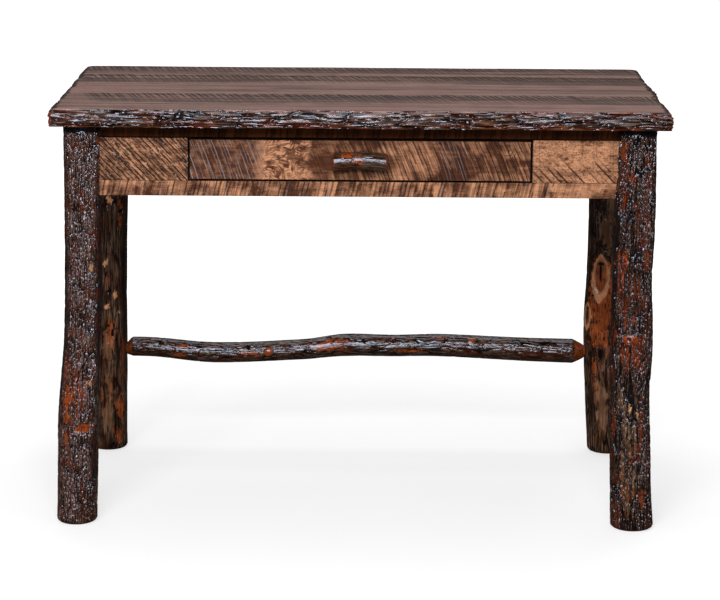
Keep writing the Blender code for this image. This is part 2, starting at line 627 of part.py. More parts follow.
def fasten_to_top(bar, x, under, steel):
    """A screw near each end of a bar, up through it into the middle of the board above."""
    front_y = (BOARD_JOINTS[0] + BOARD_JOINTS[1]) / 2
    rear_y = (BOARD_JOINTS[2] + BOARD_JOINTS[3]) / 2
    for end, board, y in (("front", "top_board_1", front_y), ("rear", "top_board_3", rear_y)):
        tip = DESK_HEIGHT - TOP_THICKNESS + TOP_SCREW_BITE
        recess = under + SCREW_HEAD_HEIGHT + SEAT_GAP
        screw(f"{bar}_screw_{end}", (x, y, recess), (0, 0, 1), tip - recess, steel)
        hole([bar, board], f"{bar}_hole_{end}", (x, y, under - CUT_MARGIN), (x, y, tip + SEAT_GAP),
             SCREW_RADIUS)
        hole([bar], f"{bar}_recess_{end}", (x, y, under - CUT_MARGIN), (x, y, recess + SEAT_GAP),
             SCREW_HEAD_RADIUS)


def make_corner(end, side, surfaces):
    """A corner block across two aprons, with a bolt from the leg and a nut behind the block."""
    out, back = SIDES[side], ENDS[end]
    face_x, face_y = SIDE_APRON_INNER - SEAT_GAP, REAR_APRON_FRONT - SEAT_GAP
    middle = BLOCK_TOP - BLOCK_HEIGHT / 2
    axis_x, axis_y, radius = leg_axis(f"{end}_{side}", middle)
    corner = Vector((out * face_x, back * face_y, middle))
    inwards = Vector((-out, -back, 0)).normalized()
    axis = Vector((axis_x, axis_y, middle))
    bark = (axis - corner).dot(inwards) + radius * (1 + LOG_OVAL)
    nose = math.sqrt(2) * (bark + BLOCK_CLEARANCE)
    plan = ((nose, 0), (BLOCK_LEG, 0), (0, BLOCK_LEG), (0, nose))
    outline = [(corner.x - out * u, corner.y - back * v) for u, v in plan]
    name = f"{end}_{side}"
    block = prism(f"corner_block_{name}", outline, BLOCK_TOP - BLOCK_HEIGHT, BLOCK_TOP, surfaces["plain"])
    start = corner + inwards * ((axis - corner).dot(inwards) + BOLT_START)
    seat = corner + inwards * (BLOCK_LEG / math.sqrt(2) + SEAT_GAP)
    nut_end = seat + inwards * NUT_THICKNESS
    tip = nut_end + inwards * BOLT_PROUD
    rod(f"corner_bolt_{name}", start, tip, BOLT_RADIUS, surfaces["steel"])
    rod(f"corner_nut_{name}", seat, nut_end, NUT_RADIUS, surfaces["steel"], sides=NUT_SIDES)
    hole([f"leg_{name}", block.name, f"corner_nut_{name}"], f"corner_bolt_hole_{name}",
         start - inwards * SEAT_GAP, tip + inwards * CUT_MARGIN, BOLT_RADIUS)


def main():
    for obj in list(bpy.data.objects):
        bpy.data.objects.remove(obj, do_unlink=True)
    surfaces = make_finishes()
    make_legs(surfaces)
    make_stretcher(surfaces)
    make_apron(surfaces)
    make_top(surfaces)
    make_runners(surfaces)
    make_drawer(surfaces)
    make_battens(surfaces)
    for end in ENDS:
        for side in SIDES:
            make_corner(end, side, surfaces)


main()
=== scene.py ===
"""Log desk: bark-on legs, a plank top with bark edges, a sawn apron and one drawer."""

import math
from collections import namedtuple

import bpy
import numpy as np
from bpy.props import FloatProperty, FloatVectorProperty, PointerProperty
from mathutils import Matrix, Vector


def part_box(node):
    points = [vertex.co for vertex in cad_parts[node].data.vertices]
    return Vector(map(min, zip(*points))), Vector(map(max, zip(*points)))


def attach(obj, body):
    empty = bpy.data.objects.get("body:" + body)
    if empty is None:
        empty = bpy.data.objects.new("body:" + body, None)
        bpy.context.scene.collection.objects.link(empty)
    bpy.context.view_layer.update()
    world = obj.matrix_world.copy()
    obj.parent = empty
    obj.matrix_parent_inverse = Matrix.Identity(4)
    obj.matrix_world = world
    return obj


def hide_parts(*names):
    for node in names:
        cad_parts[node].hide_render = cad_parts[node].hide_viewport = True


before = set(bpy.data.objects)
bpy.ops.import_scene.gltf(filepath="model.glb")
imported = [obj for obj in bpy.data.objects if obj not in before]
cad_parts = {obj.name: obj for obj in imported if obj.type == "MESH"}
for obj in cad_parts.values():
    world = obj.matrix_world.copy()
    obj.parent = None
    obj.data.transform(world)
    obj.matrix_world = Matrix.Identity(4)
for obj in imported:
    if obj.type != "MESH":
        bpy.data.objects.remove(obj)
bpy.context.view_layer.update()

bl_info = {
    "name": "Log desk",
    "version": (1, 0, 0),
    "blender": (4, 5, 0),
    "location": "View3D > Sidebar > Log desk",
    "description": "Builds the bark, the sawn boards and the studio of a log desk",
    "category": "Object",
}

# Main sizes, in metres
TOP_WIDTH = 1.090
TOP_DEPTH = 0.610
DESK_HEIGHT = 0.762
TOP_THICKNESS = 0.031
FRONT_SLAB_DEPTH = 0.088
BACK_SLAB_DEPTH = 0.120
SIDE_STRIP_WIDTH = 0.032
SEAT_GAP = 0.0003
LEG_INSET = 0.055
LEG_RADIUS = 0.034
STRETCHER_HEIGHT = 0.203
STRETCHER_RADIUS = 0.0205
TENON_RADIUS = 0.011
TENON_DEPTH = 0.030
SHOULDER_LEFT = 0.012
SHOULDER_RIGHT = 0.024
PULL_LENGTH = 0.099
PULL_RADIUS = 0.0145
PULL_STANDOFF = 0.012
PULL_ARCH = 0.003
RABBET_DEPTH = 0.012
DRAWER_SIDE_THICKNESS = 0.012

TOP_UNDERSIDE = DESK_HEIGHT - TOP_THICKNESS
LEG_LENGTH = TOP_UNDERSIDE - SEAT_GAP
LEG_X = TOP_WIDTH / 2 - LEG_INSET
LEG_Y = TOP_DEPTH / 2 - LEG_INSET
SIDES = {"left": -1, "right": 1}
ENDS = {"front": -1, "rear": 1}

# Logs: (share of the length, lean outwards or rise, swell of the radius)
LEG_SHAPES = {
    "front_left": (
        (0, 0.0220, 0.0024), (0.12, 0.0190, 0.0024), (0.26, 0.0160, 0.0024), (0.36, 0.0115, 0.0006),
        (0.46, 0.0065, -0.0012), (0.60, 0.0025, -0.0008), (0.80, 0.0018, -0.0018), (1, 0, -0.0016),
    ),
    "front_right": (
        (0, 0.0066, 0.0046), (0.11, 0.0028, 0.0032), (0.32, -0.0024, 0.0016), (0.43, -0.0018, 0.0036),
        (0.50, -0.0026, 0.0040), (0.62, -0.0044, 0.0018), (0.77, -0.0036, 0.0036),
        (0.88, -0.0014, 0.0004), (1, -0.0012, 0),
    ),
    "rear_left": (
        (0, 0.0136, 0.0030), (0.27, 0.0120, 0.0030), (0.55, 0.0095, 0.0030), (0.70, 0.0064, 0.0030),
        (1, 0.0020, 0.0020),
    ),
    "rear_right": (
        (0, 0.0070, 0.0050), (0.14, 0.0010, 0.0052), (0.28, -0.0038, 0.0052), (0.37, -0.0064, 0.0052),
        (0.48, -0.0034, 0.0050), (0.70, -0.0018, 0.0050), (1, -0.0010, 0.0034),
    ),
}
FOOT_SPLAYS = {"front_left": -0.004, "front_right": 0.010, "rear_left": 0.0, "rear_right": 0.0}
STRETCHER_SHAPE = (
    (0, 0.0035, -0.0010), (0.06, 0.0025, -0.0010), (0.19, -0.0076, 0), (0.39, 0.0002, 0),
    (0.47, 0.0090, 0.0020), (0.59, 0.0088, 0.0012), (0.68, 0.0104, 0.0020), (0.87, 0.0030, 0.0030),
    (1, 0, 0.0040),
)

# Bark: width, length and depth of the plates, the same of the scales, depth of fibres and of lines,
# and shade of the seams
BARK_STYLES = {
    "wrinkled": (0.0066, 0.045, 0.0012, 0.0042, 0.0100, 0.0006, 0.0001, 0.0010, 0.80),
    "furrowed": (0.0078, 0.070, 0.0016, 0.0044, 0.0110, 0.0007, 0.0001, 0.0022, 0.95),
    "smooth": (0.0095, 0.120, 0.0005, 0.0034, 0.0600, 0.0003, 0.0001, 0.0006, 0.75),
    "branch": (0.0085, 0.060, 0.0004, 0.0032, 0.0300, 0.0001, 0.0001, 0.0006, 0.90),
    "edge": (0.0080, 0.100, 0.0026, 0.0040, 0.0900, 0.0005, 0.0001, 0.0016, 1.00),
}
# Bark of each leg: style, share of red in the furrows, finish
LEG_BARK = {
    "front_left": ("wrinkled", 0.45, "wrinkled_bark"),
    "front_right": ("furrowed", 0.90, "furrowed_bark"),
    "rear_left": ("smooth", 0.15, "rear_bark"),
    "rear_right": ("smooth", 0.20, "rear_bark"),
}

# Marks on the logs: (kind, height, turn from the front in degrees, half height, half width)
# Wide dark marks on the sides of the front legs and rear left leg are painted shade, away from the light
LEG_MARKS = {
    "front_left": (
        ("peel", 0.240, -31, 0.029, 0.012), ("peel", 0.200, -30, 0.015, 0.010),
        ("peel", 0.182, 22, 0.013, 0.018), ("peel", 0.160, -30, 0.022, 0.006),
        ("inner", 0.290, -52, 0.022, 0.003), ("inner", 0.284, -42, 0.020, 0.003),
        ("inner", 0.288, -33, 0.018, 0.002), ("inner", 0.262, -9, 0.040, 0.0025),
        ("inner", 0.243, 3, 0.038, 0.0025), ("inner", 0.235, 12, 0.030, 0.003),
        ("inner", 0.262, 22, 0.024, 0.0025), ("dark", 0.12, 60, 0.100, 0.016),
        ("inner", 0.121, -22, 0.010, 0.003), ("tan", 0.475, 31, 0.008, 0.004),
        ("tan", 0.263, 37, 0.006, 0.004), ("bump", 0.286, 54, 0.022, 0.014),
        ("bump", 0.161, 7, 0.015, 0.013), ("peel", 0.703, 64, 0.008, 0.006),
        ("dark", 0.420, -72, 0.420, 0.024), ("dark", 0.440, 70, 0.380, 0.024),
    ),
    "front_right": (
        ("peel", 0.688, -53, 0.023, 0.011), ("inner", 0.484, -48, 0.037, 0.004),
        ("inner", 0.483, -34, 0.033, 0.003), ("inner", 0.497, -24, 0.025, 0.003),
        ("inner", 0.498, 41, 0.022, 0.006), ("boss", 0.355, -8, 0.010, 0.015),
        ("knot", 0.356, -13, 0.004, 0.003), ("inner", 0.322, -30, 0.020, 0.003),
        ("inner", 0.318, -16, 0.024, 0.003), ("inner", 0.325, 3, 0.020, 0.004),
        ("inner", 0.318, 14, 0.018, 0.003), ("inner", 0.385, -24, 0.012, 0.003),
        ("inner", 0.388, -2, 0.012, 0.003), ("dark", 0.560, -58, 0.120, 0.012),
        ("peel", 0.201, -62, 0.038, 0.007), ("plate", 0.266, 10, 0.026, 0.007),
        ("tan", 0.227, -4, 0.008, 0.003), ("tan", 0.217, 17, 0.007, 0.002),
        ("peel", 0.064, 28, 0.025, 0.009), ("inner", 0.179, 27, 0.036, 0.003),
        ("bump", 0.634, 12, 0.008, 0.008), ("bump", 0.482, 8, 0.009, 0.008),
        ("inner", 0.646, -17, 0.014, 0.005), ("inner", 0.680, 27, 0.014, 0.004),
        ("pale", 0.245, -32, 0.032, 0.004), ("pale", 0.200, -20, 0.045, 0.004),
        ("pale", 0.150, -8, 0.050, 0.004), ("pale", 0.175, 10, 0.040, 0.003),
        ("pale", 0.110, -28, 0.050, 0.004), ("pale", 0.085, 4, 0.045, 0.004),
        ("pale", 0.060, -14, 0.035, 0.004), ("dark", 0.450, -70, 0.360, 0.017),
    ),
    "rear_left": (
        ("tan", 0.510, 7, 0.009, 0.006), ("peel", 0.479, 46, 0.038, 0.008),
        ("knot", 0.485, 45, 0.005, 0.005), ("tan", 0.383, -2, 0.008, 0.005),
        ("peel", 0.351, 2, 0.022, 0.002), ("tan", 0.318, 25, 0.008, 0.005),
        ("tan", 0.295, 2, 0.006, 0.005), ("tan", 0.282, 39, 0.003, 0.003),
        ("peel", 0.235, 14, 0.034, 0.012), ("knot", 0.241, 18, 0.010, 0.003),
        ("plate", 0.170, 5, 0.025, 0.016), ("peel", 0.116, -16, 0.029, 0.002),
        ("peel", 0.122, 10, 0.024, 0.002), ("peel", 0.087, 42, 0.030, 0.013),
        ("peel", 0.031, 37, 0.021, 0.012), ("bump", 0.080, 5, 0.030, 0.012),
        ("dark", 0.330, 62, 0.260, 0.016), ("dark", 0.215, 30, 0.040, 0.006),
        ("inner", 0.180, 52, 0.060, 0.004), ("inner", 0.560, 45, 0.050, 0.004),
        ("pale", 0.215, 4, 0.040, 0.010), ("pale", 0.130, 8, 0.030, 0.008),
        ("pale", 0.070, 0, 0.035, 0.010),
        ("dark", 0.185, 34, 0.060, 0.006), ("dark", 0.060, 26, 0.045, 0.005),
    ),
    "rear_right": (
        ("peel", 0.310, -20, 0.125, 0.032), ("eye", 0.358, -22, 0.052, 0.020),
        ("eye", 0.278, -62, 0.030, 0.012), ("plate", 0.215, -5, 0.022, 0.011),
        ("pale", 0.122, -16, 0.030, 0.015), ("pale", 0.080, -14, 0.040, 0.010),
        ("plate", 0.122, -16, 0.028, 0.015), ("peel", 0.160, -34, 0.050, 0.006),
        ("bump", 0.168, -2, 0.018, 0.013), ("dark", 0.205, -12, 0.030, 0.010),
        ("dark", 0.110, -48, 0.070, 0.012), ("inner", 0.176, -12, 0.022, 0.004),
        # The three pale marks high on this leg are painted light on its upper part, which the apron
        # shades
        ("pale", 0.525, 4, 0.060, 0.010), ("pale", 0.455, -8, 0.040, 0.012),
        ("pale", 0.480, 16, 0.050, 0.006),
    ),
}
# Marks on the stretcher: (kind, place along it, turn upwards in degrees, half length, half width)
STRETCHER_MARKS = (
    ("peel", -0.359, 35, 0.019, 0.005), ("peel", -0.362, -22, 0.016, 0.006),
    ("peel", -0.216, 4, 0.025, 0.006), ("boss", -0.182, 8, 0.010, 0.010),
    ("peel", -0.058, 20, 0.040, 0.015), ("knot", -0.064, 62, 0.007, 0.005),
    ("peel", 0.097, -18, 0.028, 0.006), ("peel", 0.154, 56, 0.024, 0.004),
    ("boss", 0.221, 46, 0.008, 0.007), ("peel", 0.244, 34, 0.009, 0.005),
)
# Marks on the pull, as on the stretcher
PULL_MARKS = (
    ("peel", -0.022, 55, 0.018, 0.006), ("peel", -0.003, 8, 0.011, 0.010),
)


# Properties

def srgb(red, green, blue):
    """Scene-linear colour of a display colour from 0 to 255: the display curve undone."""
    shares = np.array((red, green, blue)) / 255
    linear = np.where(shares <= 0.04045, shares / 12.92, ((shares + 0.055) / 1.055) ** 2.4)
    return tuple(float(value) for value in linear)


def colour(name, description, *display):
    """A colour property with its default given as display values."""
    return FloatVectorProperty(name=name, description=description, subtype="COLOR",
                               size=3, min=0, max=1, default=srgb(*display))


def length(name, description, default):
    """A length property in metres."""
    return FloatProperty(name=name, description=description, default=default, min=0,
                         subtype="DISTANCE", unit="LENGTH", precision=4)


def share_of(name, description, default, most=1):
    """A property for a share of something."""
    return FloatProperty(name=name, description=description, default=default, min=0, max=most,
                         subtype="FACTOR")


def power(name, description, default):
    """A lamp's power property in watts."""
    return FloatProperty(name=name, description=description, default=default, min=0,
                         subtype="POWER", unit="POWER")


class LogDeskSizes(bpy.types.PropertyGroup):
    """Sizes of the surface detail."""

    bark_share: share_of("Bark depth", "Share of the full bark relief", 1.0, 2)
    foot_round: length("Foot rounding", "Radius round the sole of each leg", 0.008)
    board_ease: length("Eased edge", "Radius along the edges of the sawn boards", 0.0012)
    saw_depth: length("Saw mark depth", "How deep the saw marks are", 0.0005)
    bark_bulge: length("Bark bulge", "Swell of a bark edge past its two arrises", 0.006)
    bark_wander: length("Bark wander", "How far a bark edge strays inwards", 0.004)


class LogDeskColours(bpy.types.PropertyGroup):
    """Colours of the finishes."""

    bark_grey: colour("Grey bark", "Weathered crests of the bark", 124, 98, 90)
    bark_brown: colour("Brown bark", "Warm crests of the bark", 86, 51, 32)
    # The furrow colour also paints the shade at the leg heads and on the legs' sides
    bark_furrow: colour("Furrow", "Depth of the furrows", 14, 8, 6)
    inner_bark: colour("Inner bark", "Red bark in the furrows", 142, 54, 10)
    peeled: colour("Peeled wood", "Bare wood where the bark is off", 176, 84, 28)
    tan: colour("Tan wood", "Fresh flecks and knots", 196, 144, 92)
    maple_gold: colour("Gold maple", "Light wood of the sawn boards", 200, 142, 106)
    maple_brown: colour("Brown maple", "Dark stain of the sawn boards", 76, 39, 20)
    # The rail's colour is dark stain deepened as painted shade under the top's overhang
    rail_stain_and_shade: colour("Rail brown", "Dark stain of the rail under the top", 16, 7, 3)
    saw_mark: colour("Saw mark", "Stain held in the saw marks", 22, 12, 8)
    # The filled-mark colour also paints the glints on the left panel's saw marks
    pale_mark_and_glint: colour("Filled mark", "Finish that fills the deep marks", 146, 142, 146)
    plank_pink: colour("Sanded plank", "Smooth parts of the top", 128, 101, 94)
    plank_grey: colour("Rough plank", "Parts of the top that keep the saw marks", 82, 68, 64)
    plain_light: colour("Plain maple", "Light wood inside", 206, 172, 132)
    plain_dark: colour("Plain maple grain", "Grain of the wood inside", 164, 124, 84)
    zinc: colour("Zinc", "Plated screws and bolts", 176, 178, 176)
    floor: colour("Floor", "Pale studio floor", 176, 176, 176)


class LogDeskStudio(bpy.types.PropertyGroup):
    """Lamps of the studio."""

    key_power: power("Front light", "Wide softbox in front of the desk", 162)
    back_power: power("Back light", "High softbox behind the desk", 48)
    strip_power: power("Low strip", "Low strip that draws the shine on the bark", 24)
    top_power: power("Top light", "Soft light over the desk", 27)
    fill: share_of("Fill", "Light of the room on the desk", 0.20)
    reflected: share_of("Reflected room", "Brightness of the room in reflections", 0.05)


# Noise and curves

def ease(low, high, value):
    """Smooth step: 0 up to low, 1 from high, and 3t^2 - 2t^3 between."""
    t = np.clip((value - low) / (high - low), 0.0, 1.0)
    return t * t * (3.0 - 2.0 * t)


def lerp(start, end, share):
    """Straight mix of two values."""
    return start + (end - start) * share


def hashed(column, row, seed):
    """Repeatable value from 0 to 1 for each whole-number lattice point."""
    column = np.asarray(column).astype(np.int64)
    row = np.asarray(row).astype(np.int64)
    mask = 0xFFFFFFFF
    value = (column * 374761393 + row * 668265263 + seed * 974634777) & mask
    value = ((value ^ (value >> 13)) * 1274126177) & mask
    return ((value ^ (value >> 16)) & 0xFFFFFF) / 0xFFFFFF


def value_noise(x, y, seed, wrap=0):
    """Lattice values from 0 to 1 joined by a quintic fade, repeating after wrap cells of x."""
    left, low = np.floor(x), np.floor(y)
    across, up = x - left, y - low
    across = across**3 * (across * (across * 6 - 15) + 10)
    up = up**3 * (up * (up * 6 - 15) + 10)
    right = left + 1
    if wrap:
        left, right = left % wrap, right % wrap
    below = lerp(hashed(left, low, seed), hashed(right, low, seed), across)
    above = lerp(hashed(left, low + 1, seed), hashed(right, low + 1, seed), across)
    return lerp(below, above, up)


def layered_noise(x, y, seed, layers=3, wrap=0):
    """Noise from 0 to 1: layers of half the height and twice the frequency each."""
    total, weight = 0.0, 0.0
    for i in range(layers):
        double = 2**i
        total = total + value_noise(x * double, y * double, seed + 31 * i, wrap * double) / double
        weight += 1 / double
    return total / weight


def cells(x, y, seed, wrap=0):
    """Distances to the nearest two of scattered points, and the random value of the nearest.

    Each lattice cell has one point, and the cells repeat after wrap columns.
    """
    shape = np.broadcast(x, y).shape
    nearest, second, tone = np.full(shape, 9.0), np.full(shape, 9.0), np.zeros(shape)
    column, row = np.floor(x), np.floor(y)
    for step_x in (-1, 0, 1):
        for step_y in (-1, 0, 1):
            cell_x, cell_y = column + step_x, row + step_y
            key = cell_x % wrap if wrap else cell_x
            gap = np.hypot(cell_x + hashed(key, cell_y, seed) - x,
                           cell_y + hashed(key, cell_y, seed + 7) - y)
            closer = gap < nearest
            second = np.where(closer, nearest, np.minimum(second, gap))
            tone = np.where(closer, hashed(key, cell_y, seed + 13), tone)
            nearest = np.minimum(nearest, gap)
    return nearest, second, tone


def along_stations(stations, share):
    """Smooth curves through (share, value, value) stations: cubic Hermite pieces with chord slopes."""
    table = np.array(stations, float)
    knots = table[:, 0]
    last = len(knots) - 1
    i = np.clip(np.searchsorted(knots, share, side="right") - 1, 0, last - 1)
    before, after = np.maximum(i - 1, 0), np.minimum(i + 2, last)
    span = knots[i + 1] - knots[i]
    t = (share - knots[i]) / span
    curves = []
    for values in (table[:, 1], table[:, 2]):
        slope_in = (values[i + 1] - values[before]) / (knots[i + 1] - knots[before]) * span
        slope_out = (values[after] - values[i]) / (knots[after] - knots[i]) * span
        curves.append((2 * t**3 - 3 * t**2 + 1) * values[i] + (t**3 - 2 * t**2 + t) * slope_in
                      + (3 * t**2 - 2 * t**3) * values[i + 1] + (t**3 - t**2) * slope_out)
    return curves


# Meshes

def loft(name, rings, masks, materials, slots=None, sharp=None):
    """Quads between neighbouring rings, closed round each ring, and a fan of triangles over both ends.

    rings is (along, around, 3), masks are (along, around) point values, and slots gives the material
    of each strip of quads around the ring.
    """
    along, around, _ = rings.shape
    index = np.arange(along * around).reshape(along, around)
    turned = np.roll(index, -1, axis=1)
    quads = np.stack((index[:-1], turned[:-1], turned[1:], index[1:]), axis=-1).reshape(-1, 4)
    first, last = along * around, along * around + 1
    start_fan = np.stack((turned[0], index[0], np.full(around, first)), axis=-1)
    end_fan = np.stack((index[-1], turned[-1], np.full(around, last)), axis=-1)
    middles = np.stack((rings[0].mean(axis=0), rings[-1].mean(axis=0)))
    points = np.concatenate((rings.reshape(-1, 3), middles))
    corners = points[quads]
    volume = np.einsum("ij,ij->", corners[:, 0] - middles[0],
                       np.cross(corners[:, 1] - middles[0], corners[:, 2] - middles[0]))
    faces = [quads, start_fan, end_fan]
    if volume < 0:
        faces = [block[:, ::-1] for block in faces]
    mesh = bpy.data.meshes.new(name)
    mesh.from_pydata(points, [], [face for block in faces for face in block.tolist()])
    for mask, values in masks.items():
        values = np.broadcast_to(values, (along, around))
        ends = (values[0].mean(), values[-1].mean())
        layer = mesh.attributes.new(mask, "FLOAT", "POINT")
        layer.data.foreach_set("value", np.concatenate((values.ravel(), ends)).astype(np.float32))
    for material in materials:
        mesh.materials.append(material)
    if slots is not None:
        face_slots = np.zeros(len(mesh.polygons), np.int32)
        face_slots[:len(quads)] = np.tile(slots, along - 1)
        face_slots[len(quads):] = slots[0]
        mesh.polygons.foreach_set("material_index", face_slots)
    mesh.shade_smooth()
    if sharp:
        mesh.set_sharp_from_angle(angle=sharp)
    mesh.validate()
    piece = bpy.data.objects.new(name, mesh)
    bpy.context.scene.collection.objects.link(piece)
    return piece


def stand_for(piece, node, body):
    """Put a finished piece in the place of a CAD node."""
    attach(piece, body)
    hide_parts(node)


# Bark

# Marks on the sides that face away: least and most turn in degrees, half height and half width
AWAY_TURNS = (100, 260)
AWAY_HEIGHTS = (0.008, 0.034)
AWAY_WIDTHS = (0.003, 0.011)
FIBRE_WIDTH = 0.0024
FIBRE_LENGTH = 0.016
BRANCH_RED = 0.4
# Where a line of a furrow starts to rise, and where it ends, from its middle
LINE_SIDE = (0.0004, 0.0013)
# Differences of the two nearest distances over which a seam or a crack fades
SEAM_FADE = (0.02, 0.19)
CRACK_FADE = (0.04, 0.34)
# Heights and depths of the marks on logs
PEEL_CRACK = 0.0006
KNOT_DEPTH = 0.0015
BUMP_HEIGHT = 0.0030
PLATE_DEPTH = 0.0002
BOSS_HEIGHT = 0.0018
EYE_HEIGHT = 0.0008
EYE_DEPTH = 0.0026


def furrow_lines(lead, along, width, long, seed, wrap):
    """Furrows that run along a log, 1 in the middle of one and 0 past its half width.

    Each column of lead has one at a random share of its width, and noise along it breaks it up.
    """
    column = np.floor(lead)
    key = column % wrap if wrap else column
    centre = 0.3 + 0.4 * hashed(key, 0 * key, seed)
    gap = np.abs(lead - column - centre) * width
    kept = ease(0.36, 0.56, value_noise(along / (0.6 * long) + 5.3 * key, key, seed + 1))
    return (1 - ease(*LINE_SIDE, gap)) * kept


def bark(around, along, girth, style, redness, seed, closed=True):
    """Bark relief in metres below the crests, with its furrow, red and plate tone masks.

    Scattered-point plates are rounded, with seams where the nearest two points are equally far, lines
    run along the log between them, smaller scales are domes that fall by the squared distance from
    their points, and layered noise drawn out along the log gives fibres. Red shows in lines and seams
    where a slow noise lets it.
    """
    (width, long, depth, scale_width, scale_long, scale_depth,
     fibre_depth, line_depth, shade) = BARK_STYLES[style]
    columns = girth / width
    scales = girth / scale_width
    fibres = girth / FIBRE_WIDTH
    if closed:
        columns, scales, fibres = (max(3, round(count)) for count in (columns, scales, fibres))
    wraps = [count if closed else 0 for count in (4, columns, scales, fibres)]
    sway = layered_noise(around * 4, along / (1.2 * long), seed, 2, wraps[0]) - 0.5
    plate, second, tone = cells(around * columns + 2.0 * sway, along / long, seed + 1, wraps[1])
    seam = 1 - ease(*SEAM_FADE, second - plate)
    line = furrow_lines(around * columns + 1.5 * sway, along, width, long, seed + 6, wraps[1])
    near, second, _ = cells(around * scales + 3.4 * sway, along / scale_long, seed + 2, wraps[2])
    dome = np.clip(near, 0, 1) ** 2
    crack = 1 - ease(*CRACK_FADE, second - near)
    fibre = layered_noise(around * fibres, along / FIBRE_LENGTH, seed + 3, 3, wraps[3])
    relief = -depth * (seam + 0.9 * np.clip(plate, 0, 1) ** 2) - line_depth * line
    relief = relief - 1.6 * scale_depth * dome * (1 - 0.5 * seam)
    relief = relief + 2 * fibre_depth * (fibre - 0.5)
    slow = layered_noise(around * columns / 2, along / (0.5 * long), seed + 4, 2, (wraps[1] + 1) // 2)
    lined = np.maximum(ease(0.50, 0.95, line), 0.6 * ease(0.65, 0.98, seam))
    red = redness * lined * ease(0.50, 0.60, slow)
    furrow = shade * np.maximum(np.maximum(seam, line), 0.65 * crack)
    return relief, furrow, red, tone


def ragged(distance, arc, along, tall, wide, seed):
    """Mask of a patch: distance in half sizes, roughened by noise, through a smooth step."""
    across, up = np.clip(0.5 * wide, 0.002, 0.005), np.clip(0.5 * tall, 0.004, 0.012)
    rough = layered_noise(arc / across, along / up, seed, 4)
    return 1 - ease(0.72, 0.95, distance + min(1.8, 0.020 / wide) * (rough - 0.5))


def branch_scar(arc, along, up, wide, seed):
    """Masks of the scar of a branch: its almond, its core, its pale rings and its dark parts.

    The almond's half width shrinks by 1 - up^2, with a ragged outline. Rings are a sine of the distance
    from its middle line, bent by noise, and the dark slit is an upright oval with a short one across.
    """
    almond = np.abs(arc) / (wide * np.clip(1 - up**2, 0.04, 1))
    almond = almond + 0.55 * (layered_noise(arc / 0.004, along / 0.007, seed, 4) - 0.5)
    ring = (1 - ease(0.85, 1.0, almond)) * (1 - ease(0.92, 1.0, np.abs(up)))
    core = 1 - ease(0.70, 1.0, np.hypot(arc / (0.66 * wide), (up - 0.10) / 0.76))
    upright = np.hypot(arc / (0.17 * wide), (up - 0.25) / 0.50)
    level = np.hypot(arc / (0.42 * wide), (up - 0.58) / 0.09)
    slit = 1 - ease(0.55, 1.0, np.minimum(upright, level))
    waver = layered_noise(arc / 0.004, along / 0.020, seed + 50)
    rings = 0.5 + 0.5 * np.sin(22 * almond + 9 * waver)
    pale = (0.50 + 0.34 * rings) * (ring - core)
    rim = 0.4 * ring * ease(0.72, 0.98, almond)
    return ring, core, pale, np.maximum.reduce((slit, rim, 0.20 * core))


def mark_log(marks, turn, along, radius, relief, furrow, inner, tone, seed):
    """Lay patches on a log: each entry blends relief and masks over a ragged oval."""
    masks = {name: np.zeros_like(relief) for name in ("peel", "tan", "knot")}
    floor = relief.min() * 0.40

    def add(name, values):
        masks[name] = np.maximum(masks[name], values)

    for i, (kind, place, angle, tall, wide) in enumerate(marks):
        arc = np.radians((turn - angle + 180) % 360 - 180) * radius
        up = (along - place) / tall
        oval = np.hypot(arc / wide, up)
        patch = ragged(oval, arc, along, tall, wide, seed + i)
        soft = 1 - ease(0.2, 1.2, oval)
        clean = 1 - ease(0.80, 1.0, oval)
        if kind == "peel":
            shade = ease(0.30, 0.62, layered_noise(arc / 0.007, along / 0.013, seed + i + 70))
            level = np.abs(layered_noise(arc / 0.006, along / 0.009, seed + i + 80) - 0.5)
            crack = (1 - ease(0.010, 0.045, level)) * ease(0.35, 0.65, 1 - shade)
            add("peel", patch * lerp(0.62, 1.0, shade))
            relief = lerp(relief, floor - PEEL_CRACK * crack, 0.5 * patch)
            rim = 4 * patch * (1 - patch)
            furrow = np.maximum.reduce((furrow * (1 - 0.65 * patch), 0.7 * rim, 0.85 * crack * patch))
            inner = inner * (1 - patch)
        elif kind == "inner":
            inner = np.maximum(inner, patch * (0.15 + 0.85 * ease(0.15, 0.6, furrow)))
        # dark: darker bark; the wide marks on the legs' sides are painted shade
        elif kind == "dark":
            furrow = np.maximum(furrow, 0.68 * soft)
        elif kind == "tan":
            add("tan", patch)
            relief = lerp(relief, floor, 0.8 * patch)
            furrow = furrow * (1 - patch)
        elif kind == "knot":
            add("knot", clean)
            relief = relief - KNOT_DEPTH * clean
        elif kind == "bump":
            relief = relief + BUMP_HEIGHT * soft
            tone = lerp(tone, 0.1, soft)
        elif kind == "plate":
            inner = inner * (1 - patch)
            relief = lerp(relief, -PLATE_DEPTH, 0.9 * patch)
            furrow = furrow * (1 - 0.9 * patch)
            tone = lerp(tone, 0.5, patch)
        elif kind == "pale":
            add("tan", 0.17 * patch)
            furrow = furrow * (1 - 0.4 * patch)
        elif kind == "boss":
            inner = inner * (1 - clean)
            relief = lerp(relief, BOSS_HEIGHT * (1 - oval**2), clean)
            add("peel", 0.95 * clean)
            add("knot", 0.5 * clean * ease(0.82, 0.95, oval))
            furrow = furrow * (1 - clean)
        elif kind == "eye":
            ring, core, pale, dark = branch_scar(arc, along, up, wide, seed + i)
            masks["tan"] = masks["tan"] * (1 - ring)
            add("tan", pale)
            add("knot", dark)
            relief = lerp(relief, EYE_HEIGHT - EYE_DEPTH * core, ring)
            furrow = furrow * (1 - ring)
        else:
            raise ValueError(f"no log mark of the kind {kind}")
    masks.update(furrow=furrow, inner=inner, tone=tone)
    return relief, masks


